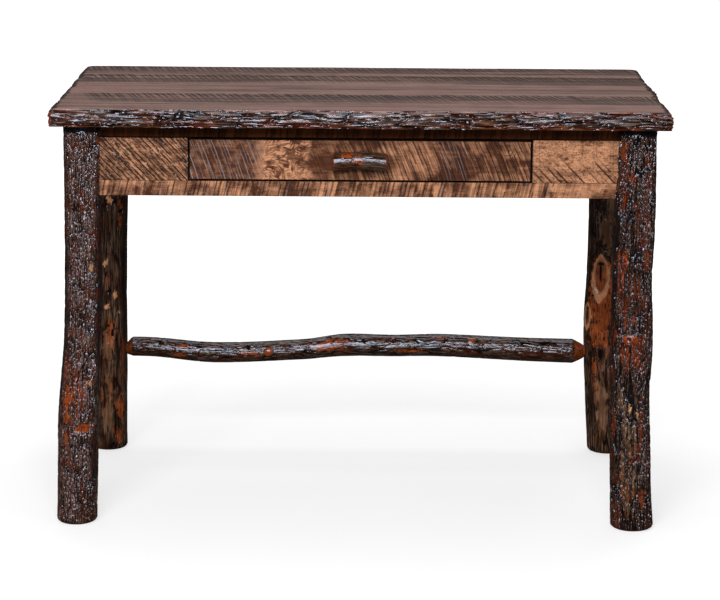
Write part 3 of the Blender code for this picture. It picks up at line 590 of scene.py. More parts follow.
def scattered_marks(count, start, end, seed):
    """Patches for the sides of a log that face away: kinds and places from the lattice values."""
    kinds = ("peel", "inner", "tan", "bump", "inner", "peel")
    ranges = ((start, end), AWAY_TURNS, AWAY_HEIGHTS, AWAY_WIDTHS)
    marks = []
    for i in range(count):
        shares = [float(hashed(i, k + 1, seed)) for k in range(len(ranges))]
        values = [lerp(low, high, share) for (low, high), share in zip(ranges, shares)]
        marks.append((kinds[i % len(kinds)], *values))
    return tuple(marks)


def log_bark(rings, points, radius, style, redness, marks, seeds, calm=(1.0, 1.0)):
    """Bark and marks of a log whose rings lie at the given places, with points to a ring.

    Gives the share and the angle round the log, the place along it, the relief and the masks. calm
    scales the relief and the furrows of the bark before the marks are laid on it.
    """
    around = np.broadcast_to(np.arange(points) / points, (len(rings), points))
    turn = 360 * around - 180
    along = np.broadcast_to(rings[:, None], around.shape)
    relief, furrow, inner, tone = bark(around, along, 2 * math.pi * radius, style, redness, seeds[0])
    relief, furrow = calm[0] * relief, calm[1] * furrow
    relief, masks = mark_log(marks, turn, along, radius, relief, furrow, inner, tone, seeds[1])
    return around, np.radians(turn), along, relief, masks


# Nodes

def node(tree, kind, settings=(), **inputs):
    """Add a shader node, set its settings, and link or set its inputs, with _ for a space in a name."""
    made = tree.nodes.new(kind)
    for key, value in dict(settings).items():
        setattr(made, key, value)
    for key, value in inputs.items():
        feed(tree, made.inputs[key.replace("_", " ")], value)
    return made


def feed(tree, socket, value):
    """Link a socket, or set its own value."""
    if isinstance(value, bpy.types.NodeSocket):
        tree.links.new(value, socket)
    elif isinstance(value, tuple) and socket.type == "RGBA" and len(value) == 3:
        socket.default_value = (*value, 1.0)
    else:
        socket.default_value = value


def maths(tree, operation, first, second, clamp=False):
    """Result of a Math node."""
    made = tree.nodes.new("ShaderNodeMath")
    made.operation = operation
    made.use_clamp = clamp
    feed(tree, made.inputs[0], first)
    feed(tree, made.inputs[1], second)
    return made.outputs[0]


def mixed(tree, share, first, second, how="MIX"):
    """Result of a colour Mix node."""
    made = tree.nodes.new("ShaderNodeMix")
    made.data_type = "RGBA"
    made.blend_type = how
    feed(tree, made.inputs[0], share)
    feed(tree, made.inputs[6], first)
    feed(tree, made.inputs[7], second)
    return made.outputs[2]


def remap(tree, value, low, high, start=0.0, end=1.0):
    """A value moved from one range to another and held inside it."""
    made = node(tree, "ShaderNodeMapRange", {"clamp": True}, Value=value)
    for name, bound in (("From Min", low), ("From Max", high), ("To Min", start), ("To Max", end)):
        made.inputs[name].default_value = bound
    return made.outputs[0]


def mask(tree, name):
    """A point value of the mesh by its name."""
    return node(tree, "ShaderNodeAttribute", {"attribute_name": name}).outputs["Fac"]


def noise(tree, vector, scale, detail=3.0, rough=0.55, distortion=0.0):
    """Value of a noise texture on a vector."""
    return node(tree, "ShaderNodeTexNoise", Vector=vector, Scale=scale, Detail=detail,
                Roughness=rough, Distortion=distortion).outputs[0]


def shaded(tree, tone, value, low, high, start, end):
    """A colour made darker or lighter where a value says so."""
    return mixed(tree, 1.0, tone, remap(tree, value, low, high, start, end), "MULTIPLY")


def finish_group(name, colours, number):
    """An empty shader group of a finish, its sockets, and the two places that its nodes work on.

    Colours, the grain's frequencies and one number go in, and colour, roughness and height come out. The
    places are the object coordinates and the same drawn out along the grain.
    """
    tree = bpy.data.node_groups.new(name, "ShaderNodeTree")
    inputs = [(label, "NodeSocketColor") for label in colours]
    inputs += [("Grain", "NodeSocketVector"), (number, "NodeSocketFloat")]
    outputs = [("Colour", "NodeSocketColor")]
    outputs += [(label, "NodeSocketFloat") for label in ("Roughness", "Height")]
    for way, sockets in (("INPUT", inputs), ("OUTPUT", outputs)):
        for label, kind in sockets:
            tree.interface.new_socket(label, in_out=way, socket_type=kind)
    given = tree.nodes.new("NodeGroupInput").outputs
    out = tree.nodes.new("NodeGroupOutput").inputs
    place = tree.nodes.new("ShaderNodeTexCoord").outputs["Object"]
    drawn = node(tree, "ShaderNodeVectorMath", {"operation": "MULTIPLY"})
    feed(tree, drawn.inputs[0], place)
    feed(tree, drawn.inputs[1], given["Grain"])
    return tree, given, out, place, drawn.outputs[0]


def bark_group():
    """Bark colours: crests from grey to brown, dark or red furrows, bare and tan wood, and knots."""
    name = "bark_colours"
    if name in bpy.data.node_groups:
        return bpy.data.node_groups[name]
    colours = ("Grey", "Brown", "Furrow", "Inner", "Peeled", "Tan")
    tree, given, out, place, drawn = finish_group(name, colours, "Beads")
    fibre = noise(tree, drawn, 1.6, 5.0, 0.65)
    wrinkle = noise(tree, drawn, 1.0, 1.0, 0.4)
    bead = node(tree, "ShaderNodeTexVoronoi", Vector=drawn, Scale=1.0).outputs["Distance"]
    dome = maths(tree, "SUBTRACT", 1.0, maths(tree, "MULTIPLY", bead, bead), True)
    drift = noise(tree, place, 34.0)
    furrow, inner, tone = mask(tree, "furrow"), mask(tree, "inner"), mask(tree, "tone")
    peel, tan, knot = mask(tree, "peel"), mask(tree, "tan"), mask(tree, "knot")
    own_tone = remap(tree, tone, 0.0, 1.0, -0.25, 0.45)
    warm = maths(tree, "ADD", remap(tree, drift, 0.40, 0.66), own_tone, True)
    crest = mixed(tree, warm, given["Grey"], given["Brown"])
    # painted shade and light on the bump beads: darker where they meet, lighter on their tops
    crest = shaded(tree, crest, dome, 0.45, 0.90, 0.28, 1.15)
    crest = shaded(tree, crest, fibre, 0.30, 0.70, 0.55, 1.45)
    shown = mixed(tree, remap(tree, furrow, 0.15, 0.75), crest, given["Furrow"])
    shown = mixed(tree, inner, shown, shaded(tree, given["Inner"], fibre, 0.30, 0.70, 0.45, 1.30))
    bare = mixed(tree, remap(tree, drift, 0.42, 0.62, 0.0, 0.60), given["Peeled"], given["Inner"])
    bare = shaded(tree, bare, fibre, 0.30, 0.70, 0.45, 1.30)
    net = node(tree, "ShaderNodeTexVoronoi", {"feature": "DISTANCE_TO_EDGE"}, Vector=drawn, Scale=0.9)
    split = shaded(tree, bare, net.outputs["Distance"], 0.03, 0.14, 0.22, 1.0)
    cracked = remap(tree, noise(tree, place, 70.0, 2.0), 0.44, 0.56)
    bare = mixed(tree, cracked, bare, split)
    bare = mixed(tree, remap(tree, furrow, 0.1, 0.6), bare, given["Furrow"])
    fresh = shaded(tree, given["Tan"], fibre, 0.3, 0.7, 0.60, 1.15)
    for share, layer in ((peel, bare), (tan, fresh), (knot, given["Furrow"])):
        shown = mixed(tree, share, shown, layer)
    feed(tree, out["Colour"], shown)
    worn = remap(tree, fibre, 0.25, 0.75, 0.15, 0.25)
    wet = remap(tree, furrow, 0.0, 0.8, 1.0, 0.35)
    feed(tree, out["Roughness"], maths(tree, "MULTIPLY", worn, wet))
    hidden = maths(tree, "MAXIMUM", maths(tree, "MAXIMUM", peel, furrow), inner)
    covered = remap(tree, hidden, 0.0, 1.0, 1.0, 0.1)
    gathered = remap(tree, noise(tree, place, 19.0, 2.0), 0.41, 0.59, 0.30, 1.05)
    beaded = maths(tree, "MULTIPLY", maths(tree, "MULTIPLY", dome, given["Beads"]), gathered)
    feed(tree, out["Height"], maths(tree, "MULTIPLY", maths(tree, "ADD", wrinkle, beaded), covered))
    return tree


def wood_group():
    """Wood colours: grain drawn out along the board, stain, saw marks, filled marks and pin holes."""
    name = "sawn_wood"
    if name in bpy.data.node_groups:
        return bpy.data.node_groups[name]
    tree, given, out, place, drawn = finish_group(name, ("Light", "Dark", "Mark", "Filled"), "Contrast")
    grain = noise(tree, drawn, 1.0, 6.0, 0.6, 0.8)
    fine = noise(tree, drawn, 4.0, 3.0, 0.6)
    cloud = noise(tree, place, 26.0)
    swing = maths(tree, "SUBTRACT", maths(tree, "ADD", grain, maths(tree, "MULTIPLY", cloud, 0.6)), 0.8)
    swing = maths(tree, "MULTIPLY", swing, given["Contrast"])
    stain = maths(tree, "ADD", mask(tree, "stain"), swing, True)
    shown = mixed(tree, stain, given["Light"], given["Dark"])
    shown = shaded(tree, shown, fine, 0.25, 0.75, 0.74, 1.26)
    for kind, tone in (("groove", "Mark"), ("pale", "Filled"), ("pit", "Mark")):
        shown = mixed(tree, mask(tree, kind), shown, given[tone])
    feed(tree, out["Colour"], shown)
    feed(tree, out["Roughness"], remap(tree, fine, 0.25, 0.75, 0.52, 0.72))
    feed(tree, out["Height"], maths(tree, "ADD", grain, fine))
    return tree


# Finishes

# Length of the painted shade at the front end of the drawer sides
GAP_SHADE_LENGTH = 0.030
BUMP_STRENGTH = 0.8
SPANGLE_SCALE = 900.0
ZINC_MOTTLE = 500.0
COOL_SHEEN = (0.76, 0.83, 1.0)
PLAIN_SHEEN = (1.0, 1.0, 1.0)
# Bark: shine, bump, beads, grain frequency along and across, and colours that differ from the settings
BARK_FINISHES = {
    "wrinkled_bark": (1.2, 0.0024, 1.35, 185.0, 280.0, {}),
    "furrowed_bark": (0.95, 0.0024, 1.35, 150.0, 285.0, {
        "Grey": (88, 64, 50), "Brown": (66, 38, 24), "Peeled": (154, 68, 22),
    }),
    "rear_bark": (0.4, 0.0024, 0.3, 30.0, 330.0, {
        "Grey": (116, 88, 69), "Brown": (74, 45, 28), "Tan": (222, 158, 116),
        "Peeled": (172, 86, 42), "Inner": (112, 46, 16),
    }),
    "branch_bark": (0.55, 0.0008, 0.08, 45.0, 260.0, {
        "Grey": (90, 72, 60), "Brown": (72, 48, 33), "Peeled": (158, 78, 32),
    }),
    "edge_bark": (0.7, 0.0024, 0.14, 24.0, 230.0, {
        "Grey": (98, 80, 74), "Brown": (102, 62, 36), "Furrow": (18, 11, 8),
    }),
}
# Wood: light and dark colour, grain frequency along and across, contrast, bump, shine
WOOD_FINISHES = {
    "maple_sawn": ("maple_gold", "maple_brown", 9.0, 150.0, 0.5, 0.0005, 0.14),
    # For the rail under the top: dark stain deepened as painted shade
    "maple_dark": ("maple_brown", "rail_stain_and_shade", 9.0, 150.0, 0.5, 0.0005, 0.02),
    "maple_plain": ("plain_light", "plain_dark", 8.0, 130.0, 1.3, 0.0003, 0.35),
    "plank_wood": ("plank_pink", "plank_grey", 5.0, 120.0, 1.0, 0.0004, 0.06),
    "peg_wood": ("tan", "peeled", 30.0, 600.0, 1.6, 0.0003, 0.5),
}


def new_material(name):
    """A material with nodes, its tree and the inputs of its shader."""
    material = bpy.data.materials.new(name)
    material.use_nodes = True
    return material, material.node_tree, material.node_tree.nodes["Principled BSDF"].inputs


def finish_material(name, tree_group, values, bump, shine, sheen):
    """A material whose colour, roughness and bump come from a group with its own values."""
    if name in bpy.data.materials:
        return bpy.data.materials[name]
    material, tree, shader = new_material(name)
    made = tree.nodes.new("ShaderNodeGroup")
    made.node_tree = tree_group
    for key, value in values.items():
        feed(tree, made.inputs[key], value)
    raised = node(tree, "ShaderNodeBump", Height=made.outputs["Height"], Strength=BUMP_STRENGTH,
                  Distance=bump)
    feed(tree, shader["Base Color"], made.outputs["Colour"])
    feed(tree, shader["Roughness"], made.outputs["Roughness"])
    feed(tree, shader["Normal"], raised.outputs[0])
    feed(tree, shader["Specular IOR Level"], shine)
    feed(tree, shader["Specular Tint"], sheen)
    return material


def grain_along(axis, along, across):
    """Noise frequencies for grain that runs along one axis."""
    values = [across, across, across]
    values["xyz".index(axis)] = along
    return tuple(values)


def bark_material(finish, axis):
    """Bark of a log or edge that runs along one axis."""
    shine, bump, beads, along, across, changes = BARK_FINISHES[finish]
    tones = bpy.context.scene.log_desk_colours
    values = {
        "Grey": tuple(tones.bark_grey), "Brown": tuple(tones.bark_brown),
        "Furrow": tuple(tones.bark_furrow), "Inner": tuple(tones.inner_bark),
        "Peeled": tuple(tones.peeled), "Tan": tuple(tones.tan),
        "Grain": grain_along(axis, along, across), "Beads": beads,
    }
    values.update((name, srgb(*shade)) for name, shade in changes.items())
    return finish_material(f"{finish}_{axis}", bark_group(), values, bump, shine, COOL_SHEEN)


def wood_material(finish, axis):
    """Wood of a board or peg with its grain along one axis."""
    light, dark, along, across, contrast, bump, shine = WOOD_FINISHES[finish]
    tones = bpy.context.scene.log_desk_colours
    values = {
        "Light": tuple(getattr(tones, light)), "Dark": tuple(getattr(tones, dark)),
        "Mark": tuple(tones.saw_mark), "Filled": tuple(tones.pale_mark_and_glint),
        "Grain": grain_along(axis, along, across), "Contrast": contrast,
    }
    return finish_material(f"{finish}_{axis}", wood_group(), values, bump, shine, PLAIN_SHEEN)


def drawer_side_material():
    """Plain maple with painted shade of the saw mark colour near its front end, in the gap by the
    drawer.
    """
    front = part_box("drawer_side_left")[0].y
    material = wood_material("maple_plain", "y").copy()
    material.name = "maple_drawer_side"
    tree = material.node_tree
    shown = tree.nodes["Principled BSDF"].inputs["Base Color"]
    plain = shown.links[0].from_socket
    place = tree.nodes.new("ShaderNodeTexCoord").outputs["Object"]
    depth = node(tree, "ShaderNodeSeparateXYZ", Vector=place).outputs["Y"]
    # painted shade: the front end darkens, seen through the gap round the drawer front
    gap_shade = remap(tree, depth, front + 0.5 * GAP_SHADE_LENGTH, front + GAP_SHADE_LENGTH, 1.0, 0.0)
    feed(tree, shown, mixed(tree, gap_shade, plain, tuple(bpy.context.scene.log_desk_colours.saw_mark)))
    return material


def zinc_material():
    """Zinc plate: metal with a spangle of flat patches and a mottled roughness."""
    material, tree, shader = new_material("zinc_plate")
    place = tree.nodes.new("ShaderNodeTexCoord").outputs["Object"]
    spangle = node(tree, "ShaderNodeTexVoronoi", Vector=place, Scale=SPANGLE_SCALE).outputs["Color"]
    zinc = tuple(bpy.context.scene.log_desk_colours.zinc)
    feed(tree, shader["Base Color"], shaded(tree, zinc, spangle, 0.0, 1.0, 0.7, 1.1))
    feed(tree, shader["Roughness"], remap(tree, noise(tree, place, ZINC_MOTTLE), 0.3, 0.7, 0.25, 0.5))
    feed(tree, shader["Metallic"], 1.0)
    return material


# Legs

LEG_AROUND = 200
LEG_ALONG = 420
FOOT_RINGS = 7
SOLE_INSET = 0.020
# Height of the painted shade at the head of each leg, under the top
HEAD_SHADE = 0.019
LUMP_HEIGHT = 0.0024
LUMP_LENGTH = 0.09
SOLE_FADE = 0.006
WORN_RIM = (0.0015, 0.0045)
LEG_SEED = 101
LEG_SEED_STEP = 17
# Marks on the sides that face away: how many, and the first and last place along the log
LEG_AWAY = (9, 0.05, 0.66)


def leg_piece(key, seed):
    """Points at axis(height) + radius times (sine, minus cosine) of the turn, with bark relief.

    The axis and the radius follow the leg's stations. At the foot the radius closes along a quarter
    circle to the sole, and the bark is worn off there. The head is painted dark in the furrow colour as
    the shade under the top, and has no relief.
    """
    sizes = bpy.context.scene.log_desk_sizes
    end, side = key.split("_")
    style, redness, finish = LEG_BARK[key]
    curl = np.linspace(0, math.pi / 2, FOOT_RINGS)
    body = np.linspace(sizes.foot_round, LEG_LENGTH, LEG_ALONG)[1:]
    height = np.concatenate(((0.0,), sizes.foot_round * (1 - np.cos(curl)), body))
    inset = np.concatenate(((SOLE_INSET,), sizes.foot_round * (1 - np.sin(curl)), np.zeros_like(body)))
    share = height / LEG_LENGTH
    lean, swell = along_stations(LEG_SHAPES[key], share)
    axis_x = SIDES[side] * (LEG_X + lean)
    axis_y = ENDS[end] * (LEG_Y + FOOT_SPLAYS[key] * (1 - share))
    marks = LEG_MARKS[key] + scattered_marks(*LEG_AWAY, seed)
    around, angle, rise, relief, masks = log_bark(height, LEG_AROUND, LEG_RADIUS, style, redness,
                                                  marks, (seed, seed))
    lump = layered_noise(around * 3, rise / LUMP_LENGTH, seed + 5, 2, 3) - 0.5
    sole = 1 - ease(0.0, SOLE_FADE, inset)[:, None]
    lift = 0.5 * BARK_STYLES[style][2]
    # head: painted shade under the top, dark in the furrow colour, without relief or other marks
    head = 1 - ease(0.5 * HEAD_SHADE, HEAD_SHADE, LEG_LENGTH - rise)
    proud = sizes.bark_share * (relief * (1 - head) + lift) + LUMP_HEIGHT * lump
    reach = LEG_RADIUS + swell[:, None] - inset[:, None] + sole * proud
    rim = (1 - ease(*WORN_RIM, height))[:, None] * np.ones_like(relief)
    masks["peel"] = np.maximum(masks["peel"], rim)
    for name in ("peel", "inner", "tan"):
        masks[name] = masks[name] * (1 - head)
    masks["furrow"] = np.maximum(masks["furrow"] * (1 - rim), head)
    rings = np.stack((axis_x[:, None] + reach * np.sin(angle),
                      axis_y[:, None] - reach * np.cos(angle), rise), axis=-1)
    piece = loft(f"bark_leg_{key}", rings, masks, [bark_material(finish, "z")])
    stand_for(piece, f"leg_{key}", "desk")


class LOGDESK_OT_legs(bpy.types.Operator):
    """Build the four bark-on legs"""

    bl_idname = "logdesk.legs"
    bl_label = "Legs"

    def execute(self, context):
        for i, key in enumerate(LEG_SHAPES):
            leg_piece(key, LEG_SEED + LEG_SEED_STEP * i)
        return {"FINISHED"}


# Stretcher

STRETCHER_AROUND = 96
STRETCHER_ALONG = 600
CONE_RINGS = 10
CONE_CURVE = 0.8
STRETCHER_SEEDS = (301, 311)
STRETCHER_AWAY = (8, -0.40, 0.38, 307)


def leg_bark_x(side):
    """Place along x of a rear leg's inner face at the height of the stretcher."""
    key = f"rear_{side}"
    lean, swell = along_stations(LEG_SHAPES[key], np.array([STRETCHER_HEIGHT / LEG_LENGTH]))
    return SIDES[side] * (LEG_X + lean[0] - LEG_RADIUS - swell[0])


class LOGDESK_OT_stretcher(bpy.types.Operator):
    """Build the log between the rear legs"""

    bl_idname = "logdesk.stretcher"
    bl_label = "Stretcher"

    def execute(self, context):
        """Circles along x whose radius runs from tenon to cone to log, raised along the stations."""
        sizes = context.scene.log_desk_sizes
        left, right = leg_bark_x("left"), leg_bark_x("right")
        cone_left = np.linspace(left, left + SHOULDER_LEFT, CONE_RINGS)
        cone_right = np.linspace(right - SHOULDER_RIGHT, right, CONE_RINGS)
        body = np.linspace(cone_left[-1], cone_right[0], STRETCHER_ALONG)[1:-1]
        x = np.concatenate(((left - TENON_DEPTH,), cone_left, body, cone_right, (right + TENON_DEPTH,)))
        share = np.clip((x - left) / (right - left), 0, 1)
        rise, swell = along_stations(STRETCHER_SHAPE, share)
        log = np.minimum((x - left) / SHOULDER_LEFT, (right - x) / SHOULDER_RIGHT)
        log = np.clip(log, 0, 1) ** CONE_CURVE
        shown = ease(0.80, 1.0, log)[:, None]
        marks = STRETCHER_MARKS + scattered_marks(*STRETCHER_AWAY)
        _, angle, place, relief, masks = log_bark(x, STRETCHER_AROUND, STRETCHER_RADIUS, "branch",
                                                  BRANCH_RED, marks, STRETCHER_SEEDS)
        masks["peel"] = np.maximum(masks["peel"], 0.85 * (1 - shown))
        masks["furrow"] = lerp(0.22, masks["furrow"], shown)
        radius = lerp(TENON_RADIUS, STRETCHER_RADIUS + swell, log)[:, None]
        reach = radius + shown * sizes.bark_share * relief
        level = STRETCHER_HEIGHT + (rise * ease(0.0, 1.0, log))[:, None]
        rings = np.stack((place, LEG_Y - reach * np.cos(angle), level + reach * np.sin(angle)), axis=-1)
        piece = loft("bark_stretcher", rings, masks, [bark_material("branch_bark", "x")])
        stand_for(piece, "rear_stretcher", "desk")
        return {"FINISHED"}


# Bark edges of the top

EDGE_STEP = 0.0016
BARK_POINTS = 26
TOP_POINTS = 16
UNDER_POINTS = 6
CORNER_ROUNDS = {"front": 0.007, "back": 0.022}
SPINE_INSET = 0.034
UNDER_BULGE = 0.45
EDGE_WAVES = ((3, 1.0, 1.0), (7, 0.6, 2.0))
# Knobs on the side edges: (place along the edge, width, how far they stand out)
EDGE_KNOBS = {
    "right": ((-0.020, 0.006, 0.0045),),
    "left": ((0.050, 0.012, 0.0035), (-0.11, 0.02, 0.002)),
}
EDGE_START = {"front": 0.4, "back": 2.1, "left": 2.0, "right": 4.0}
EDGE_SEEDS = {"front": 401, "back": 431, "left": 460, "right": 462}
EDGE_LIFT = 0.0010
EDGE_SWELL = 0.004
EDGE_RED = 0.4
EDGE_CURVE = 2.4
EDGE_CREASE = math.radians(50)


def edge_wander(share, phase):
    """Stray of a bark edge from 0 to 1: a long and a short sine wave along it."""
    turn = 2 * math.pi * share
    wave = sum(size * np.sin(count * turn + start * phase) for count, size, start in EDGE_WAVES)
    return (wave - wave.min()) / (wave.max() - wave.min())


def slab_path(depth, corner):
    """Plan of a slab's bark edge: along one end, round the corner, along the face, and back.

    Gives the points, their outward directions and the length along the path.
    """
    half = TOP_WIDTH / 2
    face = -TOP_DEPTH / 2
    run = depth - corner
    bend = corner * math.pi / 2
    total = 2 * (run + bend + half - corner)
    s = np.linspace(0, total, round(total / EDGE_STEP) + 1)
    near = np.minimum(s, total - s)
    sign = np.where(s <= total / 2, -1.0, 1.0)
    t = np.clip((near - run) / corner, 0, math.pi / 2)
    past = np.clip(near - run - bend, 0, None)
    x = half - corner + corner * np.cos(t) - past
    y = face + depth - np.minimum(near, run) - corner * np.sin(t)
    plan = np.stack((sign * x, y), axis=-1)
    outwards = np.stack((sign * np.cos(t), -np.sin(t)), axis=-1)
    return plan, outwards, s


def edge_rings(plan, outwards, s, spine, stray, seed):
    """A section carried along a path: top from the spine to the arris, bark face down, underside back.

    The bark face draws in by a power of |2h - 1| for its height share h, less below than above, strays
    in along the path, and has streaked bark relief that fades at both arrises. Slow noise gives red bark
    at the arrises and at the corners, and between them zones in the upper half with fewer furrows and
    greyer crests, whose greyer colour is painted sheen.
    """
    sizes = bpy.context.scene.log_desk_sizes
    h = np.linspace(1, 0, BARK_POINTS)
    along = np.broadcast_to(s[:, None], (len(s), BARK_POINTS))
    up = np.broadcast_to(h, along.shape)
    relief, furrow, inner, tone = bark(up, along, TOP_THICKNESS, "edge", EDGE_RED, seed, closed=False)
    fade = 0.35 + 0.65 * ease(0.0, 0.18, up) * ease(0.0, 0.14, 1 - up)
    swell = layered_noise(up * 1.5, along / 0.045, seed + 5, 2) - 0.5
    bulge = np.where(up > 0.5, 1.0, UNDER_BULGE) * np.abs(2 * up - 1) ** EDGE_CURVE
    inset = stray[:, None] + sizes.bark_bulge * bulge
    inset = inset - sizes.bark_share * fade * (relief + EDGE_LIFT + EDGE_SWELL * swell)
    face = plan[:, None, :] - outwards[:, None, :] * inset[..., None]
    height = TOP_UNDERSIDE + TOP_THICKNESS * up
    bark_points = np.concatenate((face, height[..., None]), axis=-1)
    top_share = np.linspace(0, 1, TOP_POINTS, endpoint=False)[None, :, None]
    under_share = np.linspace(1, 0, UNDER_POINTS + 1)[None, 1:, None]
    spine_top, spine_low = (
        np.concatenate((spine, np.full((len(s), 1), level)), axis=-1)[:, None, :]
        for level in (DESK_HEIGHT, TOP_UNDERSIDE)
    )
    top = lerp(spine_top, bark_points[:, :1], top_share)
    under = lerp(spine_low, bark_points[:, -1:], under_share)
    rings = np.concatenate((top, bark_points, under), axis=1)
    red = layered_noise(along / 0.06, up * 3, seed + 9) - 0.5
    low = 1 - ease(0.05, 0.55, up)
    # zones of the upper half with fewer furrows and greyer crests; the greyer colour is painted sheen
    painted_sheen = ease(0.50, 0.62, layered_noise(along / 0.08, up * 1.6, seed + 15)) * (1 - low)
    furrow = furrow * (1 - 0.5 * painted_sheen)
    tone = tone * (1 - painted_sheen)
    facing = np.abs(outwards[:, 1:])
    crest = ease(0.93, 1.0, up) * facing
    inner = np.clip(np.maximum(inner, (0.45 + 2 * red) * crest) + 0.3 * low * ease(0.0, 0.2, red), 0, 1)
    bent = np.abs(outwards[:, :1]) * facing
    inner = np.maximum(inner, ease(0.3, 0.9, np.abs(outwards[:, :1])) * ease(0.08, 0.22, bent))
    furrow = np.maximum(furrow, 0.6 * ease(0.75, 1.0, up) * (1 - facing))
    shown = {
        "furrow": furrow, "tone": np.clip(tone * 0.7 + 0.5 * low, 0, 1), "inner": inner,
        "peel": 0.6 * ease(0.14, 0.30, red) * (0.3 * low + crest), "tan": 0.0, "knot": 0.0,
    }
    masks = {name: np.zeros(rings.shape[:2]) for name in shown}
    for name, values in shown.items():
        masks[name][:, TOP_POINTS:TOP_POINTS + BARK_POINTS] = values
    slots = np.repeat((0, 1, 0), (TOP_POINTS - 1, BARK_POINTS + 1, UNDER_POINTS))
    return rings, masks, slots


# Rough bands of the top: (front, back, strength)
ROUGH_BANDS = ((-0.212, -0.088, 1.0), (0.052, 0.172, 1.0), (0.194, 0.292, 0.95))
# Where the saw marks start at the left end, and where the stain of the side arrises starts and ends
MARKS_START = (-0.575, -0.515)
SIDE_ARRIS = (TOP_WIDTH / 2 - 0.016, TOP_WIDTH / 2 - 0.010)


def top_marks(x, y):
    """Masks of the top: rough grey bands that keep leaning saw marks, sanded pink bands between.

    The bands follow the boards with soft borders, and the marks are lines that lean by a fixed run with
    the depth and are strongest at the back of a band.
    """
    drift = layered_noise(x / 0.16, y / 0.05, 43) - 0.5
    jag = y + 0.012 * drift + 0.010 * (value_noise((x + 0.24 * y) / 0.012, 0 * x, 41) - 0.5)
    rough, depth = np.zeros_like(x), np.zeros_like(x)
    for near, far, strength in ROUGH_BANDS:
        band = ease(near - 0.008, near + 0.030, jag) * (1 - ease(far - 0.008, far + 0.004, jag))
        back = ease(near, far, y)
        rough = np.maximum(rough, strength * band * lerp(0.70, 1.0, back))
        depth = np.maximum(depth, band * lerp(0.30, 1.0, back))
    start = ease(*MARKS_START, x + 0.4 * y)
    rough, depth = rough * lerp(0.5, 1.0, start), depth * lerp(0.2, 1.0, start)
    strong = saw_marks(x, y, "top")
    faint = saw_marks(x, y, "top_faint")
    groove = np.clip(depth * np.maximum(0.85 * strong * depth, 0.40 * faint) + 0.06 * strong, 0, 1)
    streak = layered_noise(x / 0.12, y / 0.006, 59) - 0.5
    broad = layered_noise(x / 0.26, y / 0.026, 67) - 0.5
    long = layered_noise(x / 0.45, y / 0.013, 71) - 0.5
    # ribs: random tone and painted shade across each saw rib
    ribs = strips(x, y, "top") * depth
    stain = 0.24 + 0.62 * rough + 0.9 * streak + 1.05 * broad + 1.2 * long + 0.24 * ribs
    ragged_side = np.abs(x) + 0.010 * (layered_noise(y / 0.018, 0 * x, 61) - 0.5)
    groove = np.maximum(groove, 0.85 * ease(*SIDE_ARRIS, ragged_side))
    return face_masks(stain, groove)


def edge_piece(node_name, plan, outwards, s, spine, stray, seed, axis):
    """One bark-edged plank in the place of its CAD node."""
    rings, masks, slots = edge_rings(plan, outwards, s, spine, stray, seed)
    masks.update(top_marks(rings[..., 0], rings[..., 1]))
    finishes = [wood_material("plank_wood", "x"), bark_material("edge_bark", axis)]
    piece = loft(f"{node_name}_bark", rings, masks, finishes, slots, EDGE_CREASE)
    stand_for(piece, node_name, "desk")


class LOGDESK_OT_top_edges(bpy.types.Operator):
    """Build the slabs and strips that carry the bark edges of the top"""

    bl_idname = "logdesk.top_edges"
    bl_label = "Bark edges"

    def execute(self, context):
        wander = context.scene.log_desk_sizes.bark_wander
        half = TOP_WIDTH / 2
        for end, depth, sign in (("front", FRONT_SLAB_DEPTH, 1), ("back", BACK_SLAB_DEPTH, -1)):
            plan, outwards, s = slab_path(depth, CORNER_ROUNDS[end])
            spine = np.stack((np.clip(plan[:, 0], SPINE_INSET - half, half - SPINE_INSET),
                              np.full(len(s), depth - TOP_DEPTH / 2 + SEAT_GAP / 2)), axis=-1)
            flip = np.array((1.0, sign))
            stray = wander * edge_wander(s / s[-1], EDGE_START[end]) * np.abs(outwards[:, 1])
            edge_piece(f"top_{end}_slab", plan * flip, outwards * flip, s, spine * flip, stray,
                       EDGE_SEEDS[end], "x")
        near = FRONT_SLAB_DEPTH - TOP_DEPTH / 2 + SEAT_GAP
        far = TOP_DEPTH / 2 - BACK_SLAB_DEPTH - SEAT_GAP
        y = np.linspace(near, far, round((far - near) / EDGE_STEP) + 1)
        for side, out in SIDES.items():
            plan = np.stack((np.full_like(y, out * half), y), axis=-1)
            outwards = np.stack((np.full_like(y, out), np.zeros_like(y)), axis=-1)
            spine = plan - outwards * (SIDE_STRIP_WIDTH + SEAT_GAP)
            stray = wander * edge_wander((y - near) / (far - near), EDGE_START[side])
            for place, width, proud in EDGE_KNOBS[side]:
                stray = stray - proud * np.exp(-((y - place) / width) ** 2)
            edge_piece(f"top_{side}_strip", plan, outwards, y - near, spine, stray,
                       EDGE_SEEDS[side], "y")
        return {"FINISHED"}


# Sawn boards

FACE_WAVE = 0.0005
END_TUCK = 0.6
RABBET_STEP = 1e-4
SIDE_STAIN = 0.35
EASE_POINTS = 4
BACK_POINTS = 8
BOARD_CREASE = math.radians(55)
TOP_STEP = 0.0019
SAW_WAVER = 0.0009
SAW_BREAK = 0.020

